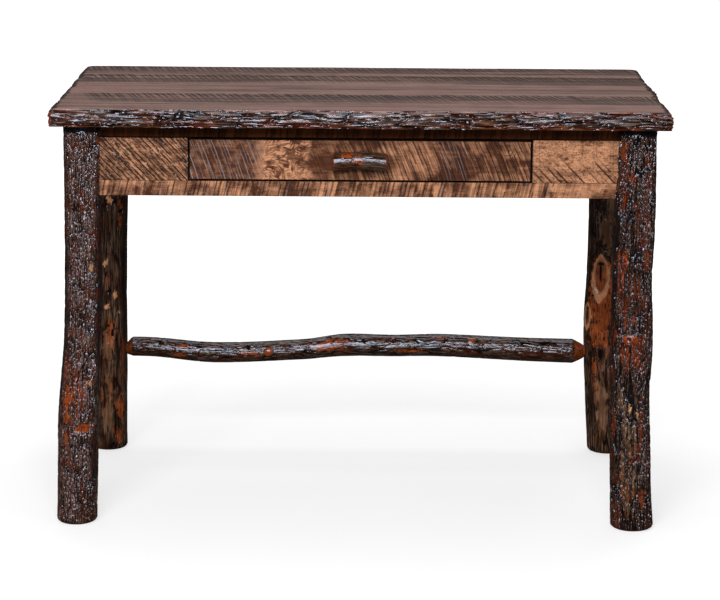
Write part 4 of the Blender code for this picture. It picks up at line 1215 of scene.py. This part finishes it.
# A set of saw marks: lean, spacing, width, share kept, seed, bend, and how much of a mark is missing
SawSet = namedtuple("SawSet", "lean spacing width kept seed bend gaps", defaults=(0.0, 0.42))
SAWS = {
    "top": SawSet(0.24, 0.0110, 0.0030, 1.10, 47, 0.8, 0.15),
    "top_faint": SawSet(0.30, 0.0070, 0.0015, 0.60, 53),
    "left": SawSet(0.95, 0.0105, 0.0025, 1.05, 501, gaps=0.22),
    "left_fine": SawSet(0.92, 0.0052, 0.0013, 0.85, 503),
    "right": SawSet(0.95, 0.0135, 0.0030, 0.75, 523),
    "right_fine": SawSet(0.95, 0.0070, 0.0012, 0.60, 527),
    "right_upright": SawSet(0.02, 0.0060, 0.0012, 0.60, 529),
    "right_level": SawSet(0.03, 0.0080, 0.0010, 0.45, 530),
    "bottom": SawSet(-0.25, 0.0076, 0.0018, 0.75, 543, gaps=0.50),
    "bottom_fine": SawSet(-0.22, 0.0036, 0.0010, 0.85, 547, gaps=0.48),
    "bottom_filled": SawSet(-0.25, 0.0230, 0.0015, 0.55, 549),
    "top_rail": SawSet(-0.10, 0.0090, 0.0026, 0.80, 561),
    "apron": SawSet(0.55, 0.0140, 0.0026, 0.85, 571),
    "apron_fine": SawSet(0.50, 0.0070, 0.0016, 0.65, 573),
    "drawer_pale": SawSet(0.36, 0.0105, 0.0008, 0.85, 611, 0.8, 0.34),
    "drawer_scratch": SawSet(0.34, 0.0070, 0.0007, 0.70, 613, 0.8),
    "drawer": SawSet(0.42, 0.0085, 0.0016, 0.95, 617, 1.2),
    "drawer_fine": SawSet(0.40, 0.0042, 0.0010, 0.85, 619, 1.0),
}


def face_masks(stain, groove, pale=0.0, pit=0.0):
    """Masks of a sawn face: stain, saw marks, pale marks and holes."""
    blank = np.zeros_like(stain)
    return {"stain": np.clip(stain, 0, 1), "groove": groove, "pale": pale + blank, "pit": pit + blank}


def saw_lines(along, across, saw):
    """Number of a strip of the board, the share of the way across it, and the share where its mark lies.

    With the rise counted from the middle of the board, the strips are the whole numbers of
    (along + lean * rise + bend * rise^2 + a small waver) / spacing.
    """
    rise = across - across.mean()
    waver = SAW_WAVER * (value_noise(along / 0.009, across / 0.007, saw.seed + 5) - 0.5)
    lead = (along + saw.lean * rise + saw.bend * rise**2 + waver) / saw.spacing
    line = np.floor(lead)
    return line, lead - line, 0.25 + 0.5 * hashed(line, 0 * line, saw.seed)


def saw_marks(along, across, name):
    """Lines that lean across a board, 1 on a line and 0 between.

    A line lies at a random share of its strip, has its own strength, and is broken where noise along it
    falls below the gaps of its set.
    """
    saw = SAWS[name]
    line, share, centre = saw_lines(along, across, saw)
    strength = ease(0.85 - saw.kept, 1.25 - saw.kept, hashed(line, 0 * line + 1, saw.seed))
    gap = np.abs(share - centre) * saw.spacing
    run = value_noise(across / SAW_BREAK + 5.3 * line, line, saw.seed + 3)
    broken = ease(saw.gaps - 0.22, saw.gaps, run)
    return (1 - ease(0.3 * saw.width, saw.width, gap)) * strength * broken


def strips(along, across, name):
    """Tone and painted shade of the ribs between saw marks, from -1 to 1.

    Each strip has a random level of tone, and a rise across it is painted shade, as if light fell on one
    side of each rib.
    """
    saw = SAWS[name]
    line, share, centre = saw_lines(along, across, saw)
    level = hashed(np.where(share < centre, line - 1, line), 0 * line + 2, saw.seed)
    slope = (share - centre) % 1.0
    return np.clip(1.4 * (level - 0.5) + 0.7 * (0.5 - slope), -1, 1)


def tear_out(along, across, lean, width, tall, kept, seed):
    """Short torn dashes that lean as the saw marks do: scattered points in cells drawn out that way."""
    rise = across - across.mean()
    near, _, tone = cells((along + lean * rise) / width, across / tall, seed)
    return (1 - ease(0.12, 0.42, near)) * (tone < kept)


def pin_holes(along, across, cell, radius, kept, seed):
    """Round holes, 1 inside: scattered points of the cells that are kept."""
    near, _, tone = cells(along / cell, across / cell, seed)
    return (1 - ease(0.5 * radius, radius, near * cell)) * (tone < kept)


def board_loop(width, thickness, points, radius):
    """Closed section of a board as (across, out): the face, three more sides, and quarter-circle eases.

    Also gives 1 for the points of the face and 0 for the rest.
    """
    half = width / 2
    curl = np.linspace(0, math.pi / 2, EASE_POINTS)
    face = np.linspace(radius - half, half - radius, points)
    corner_out = thickness - radius + radius * np.cos(curl)
    corner_in = radius - radius * np.sin(curl)
    right = half - radius + radius * np.sin(curl)
    back_right = half - radius + radius * np.cos(curl)
    back = np.linspace(half - radius, radius - half, BACK_POINTS)[1:-1]
    across = np.concatenate((face[1:-1], right, back_right, back, -back_right[::-1], -right[::-1]))
    out = np.concatenate((np.full(points - 2, thickness), corner_out, corner_in,
                          np.zeros_like(back), corner_in[::-1], corner_out[::-1]))
    return across, out, (out > thickness - radius * 0.5).astype(float)


def sawn_board(name, node_name, axes, step, marks, material, body="desk", rabbet=None, tight=1.0,
               edge_shade=0.0, end_shade=0.0):
    """A board in the box of its CAD node: one section carried along its length.

    axes names the length, the width and the face with its sign, as in "xz-y". The face sinks by the
    marks, and the ends are eased. A rabbet (inner half length, depth) thins the ends from behind, and
    tight is the share of the usual ease. The edges take edge_shade of the dark mark colour as painted
    shade in the gaps, and so does the face for end_shade metres from its ends.
    """
    sizes = bpy.context.scene.log_desk_sizes
    low, high = (np.array(corner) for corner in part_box(node_name))
    long, wide, deep = ("xyz".index(axis) for axis in axes.replace("-", ""))
    span = high - low
    middle = (low + high) / 2
    radius = sizes.board_ease * tight
    across, out, on_face = board_loop(span[wide], span[deep], round(span[wide] / step) + 2, radius)
    along = np.linspace(low[long], high[long], round(span[long] / step) + 1)
    if rabbet:
        inner, depth = rabbet
        steps = (-inner - RABBET_STEP, -inner, inner, inner + RABBET_STEP)
        along = np.sort(np.concatenate((along, steps)))
    places = np.broadcast_to(along[:, None], (len(along), len(across)))
    width_at = np.broadcast_to(middle[wide] + across, places.shape)
    masks = {key: values * on_face for key, values in marks(places, width_at).items()}
    sink = sizes.saw_depth * (masks["groove"] + 0.5 * masks["pale"] + 1.5 * masks["pit"])
    wave = FACE_WAVE * (layered_noise(places / 0.05, width_at / 0.03, 71, 2) - 0.5) * on_face
    depth_at = out - sink + wave
    if rabbet:
        behind = np.where(np.abs(along) > inner + RABBET_STEP / 2, depth, 0.0)[:, None]
        depth_at = np.maximum(depth_at, behind)
    tuck = np.zeros_like(along)
    tuck[[0, -1]] = END_TUCK * radius
    shrink = 1 - 2 * tuck / span[wide]
    rings = np.zeros((*places.shape, 3))
    rings[..., long] = places
    rings[..., wide] = middle[wide] + across * shrink[:, None]
    rings[..., deep] = high[deep] - depth_at if "-" in axes else low[deep] + depth_at
    masks["stain"] = masks["stain"] + SIDE_STAIN * (1 - on_face)
    # painted shade in the gaps: the board's edges, and its face near the ends, take the mark colour
    masks["groove"] = np.maximum(masks["groove"], edge_shade * (1 - on_face))
    if end_shade:
        from_end = np.minimum(places - low[long], high[long] - places)
        held = edge_shade * (1 - ease(0.3 * end_shade, end_shade, from_end))
        masks["groove"] = np.maximum(masks["groove"], held)
    piece = loft(name, rings, masks, [material], sharp=BOARD_CREASE)
    stand_for(piece, node_name, body)


class LOGDESK_OT_top_boards(bpy.types.Operator):
    """Build the three boards between the slabs of the top"""

    bl_idname = "logdesk.top_boards"
    bl_label = "Top boards"

    def execute(self, context):
        for i in range(3):
            sawn_board(f"top_plank_{i + 1}", f"top_board_{i + 1}", "xyz", TOP_STEP, top_marks,
                       wood_material("plank_wood", "x"), tight=0.35)
        return {"FINISHED"}


def mottle(x, z, seed):
    """Figure of the stained wood, from -1 to 1: streaks along the board, soft spots and fine flecks."""
    streak = layered_noise(x / 0.045, z / 0.009, seed) - 0.5
    spot = layered_noise(x / 0.010, z / 0.007, seed + 1) - 0.5
    fleck = value_noise(x / 0.005, z / 0.0016, seed + 2) - 0.5
    return 1.1 * streak + 0.9 * spot + 0.6 * fleck


def slanted_figure(x, z, lean, width, tall, seed):
    """Figure from -0.5 to 0.5 drawn out along the saw marks: noise on (x + lean * rise, z)."""
    rise = z - z.mean()
    return layered_noise((x + lean * rise) / width, z / tall, seed) - 0.5


# Right panel: border of its marked lower part, the painted shade at its top and right end, and its knot
MARKED_BORDER = (0.645, 0.680)
SHADED_TOP = (0.690, 0.716)
SHADED_END = (0.455, 0.475)
PANEL_KNOT = ((0.364, 0.673), (0.004, 0.003), (0.6, 1.3))
# Bottom rail: where its saw marks fade and where its holes begin
RAIL_FADE = (0.30, 0.42)
RAIL_HOLES = (0.28, 0.38)


def spot(x, z, place, size, fade):
    """Soft oval, 1 inside and 0 outside: a smooth step over the distance in half sizes."""
    return 1 - ease(*fade, np.hypot((x - place[0]) / size[0], (z - place[1]) / size[1]))


def left_panel_marks(x, z):
    """Dense saw marks that fall to the right at half a right angle, torn between, with painted glints on
    them.
    """
    strong = saw_marks(x, z, "left")
    fine = saw_marks(x, z, "left_fine")
    torn = np.maximum(tear_out(x, z, 0.95, 0.0044, 0.010, 0.70, 505),
                      tear_out(x, z, 0.95, 0.0036, 0.006, 0.50, 506))
    # painted glints: bright specks of the filled-mark colour on the strong saw marks
    glint_speck = strong * ease(0.80, 0.90, value_noise(x / 0.0035, z / 0.0035, 507))
    groove = np.maximum(np.maximum(strong, 0.80 * fine), 0.85 * torn)
    # strips: random tone and painted shade across each saw rib
    stain = 0.47 + 0.24 * strips(x, z, "left") + 0.55 * mottle(x, z, 509)
    stain = stain + 1.1 * slanted_figure(x, z, 0.95, 0.006, 0.020, 511)
    return face_masks(stain, np.clip(groove - 0.7 * glint_speck, 0, 1), 0.6 * glint_speck)


def right_panel_marks(x, z):
    """Light wood with pin holes in rows, a small knot, and slanted marks across the lower half."""
    low = 1 - ease(*MARKED_BORDER, z + 0.030 * (value_noise(x / 0.014, 0 * x, 521) - 0.5))
    strong = saw_marks(x, z, "right") * low
    fine = saw_marks(x, z, "right_fine") * (0.30 + 0.70 * low)
    upright = saw_marks(x, z, "right_upright") * (1 - low)
    level = saw_marks(z, x, "right_level")
    holes = pin_holes(x, z, 0.0060, 0.0011, 0.70, 531)
    knot = spot(x, z, *PANEL_KNOT)
    # ribs: random tone and painted shade across each saw rib
    ribs = low * strips(x, z, "right")
    stain = 0.20 + 0.95 * mottle(x, z, 533) + 0.25 * knot + 0.15 * ribs
    # painted shade under the top's overhang at the top, and beside the leg at the right end
    stain = stain + 0.50 * ease(*SHADED_TOP, z) + 0.30 * ease(*SHADED_END, x)
    ticks = np.maximum(tear_out(x, z, 0.02, 0.0030, 0.0080, 0.45, 534),
                       tear_out(z, x, 0.02, 0.0030, 0.0090, 0.40, 536))
    lines = np.maximum.reduce((0.45 * upright, 0.35 * level, 0.40 * ticks))
    groove = np.maximum.reduce((0.9 * strong, 0.6 * fine, lines))
    return face_masks(stain, groove, pit=np.maximum(0.9 * holes, 0.7 * knot))


def bottom_rail_marks(x, z):
    """Close saw marks that stand nearly upright, in dark and light runs along the rail."""
    run = layered_noise(x / 0.030, z / 0.050, 541)
    marked = 1 - 0.75 * ease(*RAIL_FADE, x)
    strong = saw_marks(x, z, "bottom") * marked
    fine = saw_marks(x, z, "bottom_fine") * marked
    filled = saw_marks(x, z, "bottom_filled") * marked
    holes = pin_holes(x, z, 0.0065, 0.0011, 0.7, 551) * ease(*RAIL_HOLES, x)
    # ribs: random tone and painted shade across each saw rib
    ribs = strips(x, z, "bottom") * marked
    stain = 0.26 + 0.58 * ease(0.36, 0.66, run) + 0.34 * ribs + 0.50 * mottle(x, z, 553)
    stain = stain + 0.8 * slanted_figure(x, z, -0.25, 0.004, 0.030, 555) * marked
    return face_masks(stain, np.maximum(0.90 * strong, 0.60 * fine), 0.22 * filled, 0.8 * holes)


def top_rail_marks(x, z):
    """Rail with dark stain, deepened as painted shade under the top, and faint upright marks."""
    fine = saw_marks(x, z, "top_rail")
    # ribs: random tone and painted shade across each saw rib
    ribs = strips(x, z, "top_rail")
    return face_masks(0.35 + 0.5 * ribs, 0.6 * fine)


def plain_apron_marks(x, z):
    """Slanted saw marks of the aprons at the sides and the back."""
    strong = saw_marks(x, z, "apron")
    fine = saw_marks(x, z, "apron_fine")
    # strips: random tone and painted shade across each saw rib
    stain = 0.35 + 0.25 * strips(x, z, "apron") + 0.55 * mottle(x, z, 577)
    return face_masks(stain, np.maximum(0.8 * strong, 0.5 * fine))


class LOGDESK_OT_apron(bpy.types.Operator):
    """Build the sawn boards of the apron"""

    bl_idname = "logdesk.apron"
    bl_label = "Apron"

    def execute(self, context):
        along_x, along_y = wood_material("maple_sawn", "x"), wood_material("maple_sawn", "y")
        # The rail's finish is dark stain deepened as painted shade under the top
        dark = wood_material("maple_dark", "x")
        # edge_shade and end_shade paint shade into the gaps round the drawer and beside the legs
        rail = {"tight": 0.4, "edge_shade": 0.95}
        panel = {**rail, "end_shade": 0.0022}
        for node_name, axes, step, marks, material, edges in (
            ("front_left_panel", "xz-y", 0.0008, left_panel_marks, along_x, panel),
            ("front_right_panel", "xz-y", 0.0008, right_panel_marks, along_x, panel),
            ("front_bottom_rail", "xz-y", 0.0010, bottom_rail_marks, along_x, rail),
            ("front_top_rail", "xz-y", 0.0016, top_rail_marks, dark, {}),
            ("rear_apron", "xzy", 0.0018, plain_apron_marks, along_x, {}),
            ("left_apron", "yz-x", 0.0017, plain_apron_marks, along_y, {}),
            ("right_apron", "yzx", 0.0017, plain_apron_marks, along_y, {}),
        ):
            name = "sawn_" + node_name.removeprefix("front_")
            sawn_board(name, node_name, axes, step, marks, material, **edges)
        return {"FINISHED"}


DRAWER_STEP = 0.0009
# Zones along the drawer: where the left one ends, where the gold one starts, and the start and end of
# the ones between and inside, each over a short run
LEFT_ZONE = (-0.200, -0.160)
GOLD_ZONE = (-0.060, -0.035)
BURL_ZONE = (-0.180, -0.160, -0.105, -0.085)
BAND_ZONE = (-0.100, -0.088, -0.062, -0.040)
BLOTCH_ZONE = (0.120, 0.150, 0.178, 0.205)
DRAWER_EYE = ((0.267, 0.680), (0.016, 0.008), (0.5, 1.0))
# Painted shade beside both ends of the pull: places along the drawer, half width, half height and
# strength
PULL_SHADES = (-0.056, 0.061)
SHADE_WIDTH = 0.012
SHADE_HEIGHT = 0.013
SHADE_STRENGTH = 0.55


def drawer_front_marks(x, z):
    """Zones along the drawer: brown with pale scratches, a cream burl, a dark band, and gold.

    The burl is fine hair that turns with each cell, and the gold has dark saw marks and a small eye.
    """
    drift = 0.030 * (layered_noise(x / 0.03, z / 0.02, 601) - 0.5)
    place = x + drift
    left, gold = 1 - ease(*LEFT_ZONE, place), ease(*GOLD_ZONE, place)
    burl, band, blotch = (
        ease(*zone[:2], place) * (1 - ease(*zone[2:], place))
        for zone in (BURL_ZONE, BAND_ZONE, BLOTCH_ZONE)
    )
    _, _, way = cells(x / 0.014, z / 0.012, 603)
    turned = math.pi * way
    hair_along = x * np.cos(turned) + z * np.sin(turned)
    hair_across = z * np.cos(turned) - x * np.sin(turned)
    hair = ease(0.44, 0.76, value_noise(hair_across / 0.0013, hair_along / 0.0120, 607))
    knotty = layered_noise(x / 0.016, z / 0.014, 609)
    pale = saw_marks(x, z, "drawer_pale") * left
    pale = pale + 0.6 * saw_marks(x, z, "drawer_scratch") * np.maximum(left, blotch)
    marked = np.maximum.reduce((gold, band, 0.5 * left))
    dark = saw_marks(x, z, "drawer") * np.maximum(gold, 0.5 * left)
    fine = saw_marks(x, z, "drawer_fine") * marked
    # ribs: random tone and painted shade across each saw rib
    ribs = strips(x, z, "drawer")
    eye = spot(x, z, *DRAWER_EYE)
    cloud = layered_noise(x / 0.050, z / 0.035, 621)
    stain = 0.92 * left + 0.90 * band + 0.42 * blotch + gold * (0.55 + 0.42 * ease(0.40, 0.70, cloud))
    curls = hair * ease(0.24, 0.44, knotty)
    stain = stain + burl * (0.95 - curls - 0.30 * ease(0.42, 0.60, knotty))
    reddish = 0.5 * left * (layered_noise(x / 0.009, z / 0.008, 627) - 0.5)
    stain = stain + 0.32 * gold * ribs + (0.30 - 0.12 * left) * mottle(x, z, 623)
    stain = stain - 0.5 * eye * hair + reddish
    stain = stain + (0.9 * gold + 0.3 * left) * slanted_figure(x, z, 0.42, 0.0045, 0.030, 625)
    rise = z - z.mean()
    # painted shade of the pull on the drawer front beside its ends
    for end in PULL_SHADES:
        spread = ((x - end) / SHADE_WIDTH) ** 2 + (rise / SHADE_HEIGHT) ** 2
        stain = stain + SHADE_STRENGTH * np.exp(-spread)
    return face_masks(stain, np.maximum(0.85 * dark, 0.65 * fine), np.clip(0.78 * pale, 0, 1))


class LOGDESK_OT_drawer_front(bpy.types.Operator):
    """Build the sawn front of the drawer"""

    bl_idname = "logdesk.drawer_front"
    bl_label = "Drawer front"

    def execute(self, context):
        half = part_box("drawer_front")[1].x - DRAWER_SIDE_THICKNESS - SEAT_GAP
        sawn_board("sawn_drawer_front", "drawer_front", "xz-y", DRAWER_STEP, drawer_front_marks,
                   wood_material("maple_sawn", "x"), "drawer", (half, RABBET_DEPTH),
                   edge_shade=0.95, end_shade=0.0012)
        return {"FINISHED"}


PULL_AROUND = 80
PULL_ALONG = 110
PULL_END = 0.004
PULL_END_RINGS = 6
PULL_END_INSET = 0.009
PULL_CALM = (0.3, 0.45)
PULL_BARK = 0.0013
PULL_SEEDS = (701, 703)


class LOGDESK_OT_drawer_pull(bpy.types.Operator):
    """Build the branch that pulls the drawer"""

    bl_idname = "logdesk.drawer_pull"
    bl_label = "Drawer pull"

    def execute(self, context):
        """Circles along x on an arched axis, rounded at both ends, and held in front of a flat back."""
        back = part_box("drawer_pull")[1].y
        axis_y = back + SEAT_GAP - PULL_STANDOFF
        level = (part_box("drawer_front")[0].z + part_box("drawer_front")[1].z) / 2
        curl = np.linspace(0, math.pi / 2, PULL_END_RINGS)
        body = np.linspace(PULL_END - PULL_LENGTH / 2, PULL_LENGTH / 2 - PULL_END, PULL_ALONG)[1:-1]
        start = -PULL_LENGTH / 2 + PULL_END * (1 - np.cos(curl))
        x = np.concatenate(((-PULL_LENGTH / 2,), start, body, -start[::-1], (PULL_LENGTH / 2,)))
        trim = PULL_END * (1 - np.sin(curl))
        inset = np.concatenate(((PULL_END_INSET,), trim, np.zeros_like(body), trim[::-1],
                                (PULL_END_INSET,)))
        share = x / (PULL_LENGTH / 2)
        _, angle, place, relief, masks = log_bark(x, PULL_AROUND, PULL_RADIUS, "branch", BRANCH_RED,
                                                  PULL_MARKS, PULL_SEEDS, PULL_CALM)
        from_end = PULL_LENGTH / 2 - np.abs(x)
        rim = np.broadcast_to(1 - ease(0.5 * PULL_END, 1.3 * PULL_END, from_end)[:, None], angle.shape)
        masks["peel"] = np.maximum(masks["peel"], 0.7 * rim)
        masks["furrow"] = lerp(masks["furrow"], 0.3, rim)
        reach = PULL_RADIUS + PULL_BARK - inset[:, None] + (1 - rim) * relief
        rise = level + (PULL_ARCH * (0.5 - share**2))[:, None]
        y = np.minimum(axis_y - reach * np.cos(angle), back)
        rings = np.stack((place, y, rise + reach * np.sin(angle)), axis=-1)
        piece = loft("branch_pull", rings, masks, [bark_material("branch_bark", "x")])
        stand_for(piece, "drawer_pull", "drawer")
        return {"FINISHED"}


# Wood and metal inside

def dress(starts, material):
    """Give a finished material to the wooden CAD nodes whose names start so."""
    for name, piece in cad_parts.items():
        if name.startswith(starts) and "screw" not in name:
            set_material(piece, material)


def set_material(piece, material):
    """Put one material in the place of what a CAD node has."""
    piece.data.materials.clear()
    piece.data.materials.append(material)


class LOGDESK_OT_inside_wood(bpy.types.Operator):
    """Finish the runners, battens, blocks and drawer box"""

    bl_idname = "logdesk.inside_wood"
    bl_label = "Wood inside"

    def execute(self, context):
        lengthwise = ("drawer_runner", "drawer_stop", "top_batten", "drawer_kicker")
        dress(lengthwise, wood_material("maple_plain", "y"))
        dress(("drawer_back", "drawer_bottom", "corner_block"), wood_material("maple_plain", "x"))
        dress("drawer_side", drawer_side_material())
        dress("stretcher_peg", wood_material("peg_wood", "y"))
        return {"FINISHED"}


class LOGDESK_OT_hardware(bpy.types.Operator):
    """Finish the screws, bolts and nuts"""

    bl_idname = "logdesk.hardware"
    bl_label = "Hardware"

    def execute(self, context):
        zinc = zinc_material()
        for name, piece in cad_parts.items():
            if any(word in name for word in ("screw", "corner_bolt", "corner_nut")):
                set_material(piece, zinc)
        return {"FINISHED"}


# Stage

CAMERA_PLACE = (0.0184, -4.6717, 1.3948)
CAMERA_YAW = math.radians(0.222)
CAMERA_PITCH = math.radians(12.494)
CAMERA_ROLL = math.radians(0.369)
CAMERA_LENS = 126.75
CAMERA_SENSOR = 36.0
FLOOR_HALF = 30.0
FLOOR_DIM = 0.12
# The floor's own light: distances from the middle between which it grows, and its least and most
GLOW = (0.6, 2.2, 0.60, 1.0)
# Lamps: place, the point that they face, width, depth, and the setting of their power
LAMPS = {
    "front_softbox": ((-0.5, -3.80, 2.52), (0, -0.25, 0.45), 2.6, 1.4, "key_power"),
    "low_strip": ((-0.3, -3.75, 0.86), (0, -0.25, 0.40), 1.6, 0.4, "strip_power"),
    "back_softbox": ((0.2, 1.9, 3.8), (0, 0.25, 0.40), 3.4, 2.2, "back_power"),
    "top_panel": ((0.0, -0.1, 2.9), (0, 0, 0), 2.6, 2.0, "top_power"),
}


def area_light(name, place, aim, width, depth, power):
    """A rectangular lamp that faces a point."""
    data = bpy.data.lights.new(name, "AREA")
    data.shape = "RECTANGLE"
    data.size = width
    data.size_y = depth
    data.energy = power
    lamp = bpy.data.objects.new(name, data)
    lamp.location = place
    lamp.rotation_euler = (Vector(aim) - Vector(place)).to_track_quat("-Z", "Y").to_euler()
    bpy.context.scene.collection.objects.link(lamp)


def room(studio):
    """White for the camera, dim in reflections, and a low even light on the desk."""
    world = bpy.data.worlds.new("studio")
    world.use_nodes = True
    tree = world.node_tree
    back = tree.nodes["Background"]
    rays = tree.nodes.new("ShaderNodeLightPath").outputs
    seen = maths(tree, "MULTIPLY", rays["Is Camera Ray"], 1.0 - studio.fill)
    shiny = maths(tree, "MAXIMUM", rays["Is Glossy Ray"], rays["Is Transmission Ray"])
    mirrored = maths(tree, "MULTIPLY", shiny, studio.reflected - studio.fill)
    strength = maths(tree, "ADD", maths(tree, "ADD", seen, mirrored), studio.fill)
    feed(tree, back.inputs["Strength"], strength)
    back.inputs["Color"].default_value = (1, 1, 1, 1)
    bpy.context.scene.world = world


def floor_material(pale):
    """Matt pale floor with a faint mottle.

    For the camera it glows away from the desk, to meet the white room. For other rays it is dim, so that
    it throws little light up.
    """
    material, tree, shader = new_material("studio_floor")
    place = tree.nodes.new("ShaderNodeTexCoord").outputs["Object"]
    seen = tree.nodes.new("ShaderNodeLightPath").outputs["Is Camera Ray"]
    tone = mixed(tree, seen, tuple(FLOOR_DIM * value for value in pale), pale)
    feed(tree, shader["Base Color"], shaded(tree, tone, noise(tree, place, 3.0), 0.3, 0.7, 0.97, 1.0))
    feed(tree, shader["Roughness"], 0.9)
    feed(tree, shader["Specular IOR Level"], 0.0)
    feed(tree, shader["Emission Color"], (1.0, 1.0, 1.0))
    away = node(tree, "ShaderNodeVectorMath", {"operation": "LENGTH"})
    feed(tree, away.inputs[0], place)
    glow = remap(tree, away.outputs["Value"], *GLOW)
    feed(tree, shader["Emission Strength"], maths(tree, "MULTIPLY", seen, glow))
    return material


class LOGDESK_OT_stage(bpy.types.Operator):
    """Build the floor, the lamps, the room and the camera"""

    bl_idname = "logdesk.stage"
    bl_label = "Studio"

    def execute(self, context):
        scene = context.scene
        studio = scene.log_desk_studio
        ground = np.array(((-1, -1, 0), (1, -1, 0), (1, 1, 0), (-1, 1, 0)), float) * FLOOR_HALF
        mesh = bpy.data.meshes.new("studio_floor")
        mesh.from_pydata(ground, [], [(0, 1, 2, 3)])
        mesh.materials.append(floor_material(tuple(scene.log_desk_colours.floor)))
        floor = bpy.data.objects.new("studio_floor", mesh)
        scene.collection.objects.link(floor)
        for name, (*setting, power_name) in LAMPS.items():
            area_light(name, *setting, getattr(studio, power_name))
        room(studio)
        data = bpy.data.cameras.new("photo_view")
        data.lens = CAMERA_LENS
        data.sensor_width = CAMERA_SENSOR
        data.sensor_fit = "HORIZONTAL"
        camera = bpy.data.objects.new("photo_view", data)
        turn = Matrix.Rotation(CAMERA_YAW, 4, "Z") @ Matrix.Rotation(math.pi / 2 - CAMERA_PITCH, 4, "X")
        turn = turn @ Matrix.Rotation(CAMERA_ROLL, 4, "Z")
        camera.matrix_world = Matrix.Translation(CAMERA_PLACE) @ turn
        scene.collection.objects.link(camera)
        scene.camera = camera
        scene.view_settings.view_transform = "Standard"
        return {"FINISHED"}


# Panel and registration

OPERATORS = (
    LOGDESK_OT_legs, LOGDESK_OT_stretcher, LOGDESK_OT_top_edges, LOGDESK_OT_top_boards,
    LOGDESK_OT_apron, LOGDESK_OT_drawer_front, LOGDESK_OT_drawer_pull, LOGDESK_OT_inside_wood,
    LOGDESK_OT_hardware, LOGDESK_OT_stage,
)
GROUPS = {
    "log_desk_sizes": LogDeskSizes,
    "log_desk_colours": LogDeskColours,
    "log_desk_studio": LogDeskStudio,
}


class LOGDESK_PT_panel(bpy.types.Panel):
    """Settings and build steps of the log desk"""

    bl_idname = "LOGDESK_PT_panel"
    bl_label = "Log desk"
    bl_space_type = "VIEW_3D"
    bl_region_type = "UI"
    bl_category = "Log desk"

    def draw(self, context):
        for name, group in GROUPS.items():
            box = self.layout.box()
            for field in group.__annotations__:
                box.prop(getattr(context.scene, name), field)
        for operator in OPERATORS:
            self.layout.operator(operator.bl_idname)


def register():
    for cls in (*GROUPS.values(), *OPERATORS, LOGDESK_PT_panel):
        bpy.utils.register_class(cls)
    for name, group in GROUPS.items():
        setattr(bpy.types.Scene, name, PointerProperty(type=group))


def unregister():
    for name in GROUPS:
        delattr(bpy.types.Scene, name)
    for cls in reversed((*GROUPS.values(), *OPERATORS, LOGDESK_PT_panel)):
        bpy.utils.unregister_class(cls)


def main():
    register()
    bpy.ops.logdesk.legs()
    bpy.ops.logdesk.stretcher()
    bpy.ops.logdesk.top_edges()
    bpy.ops.logdesk.top_boards()
    bpy.ops.logdesk.apron()
    bpy.ops.logdesk.drawer_front()
    bpy.ops.logdesk.drawer_pull()
    bpy.ops.logdesk.inside_wood()
    bpy.ops.logdesk.hardware()
    bpy.ops.logdesk.stage()


if __name__ == "__main__":
    main()
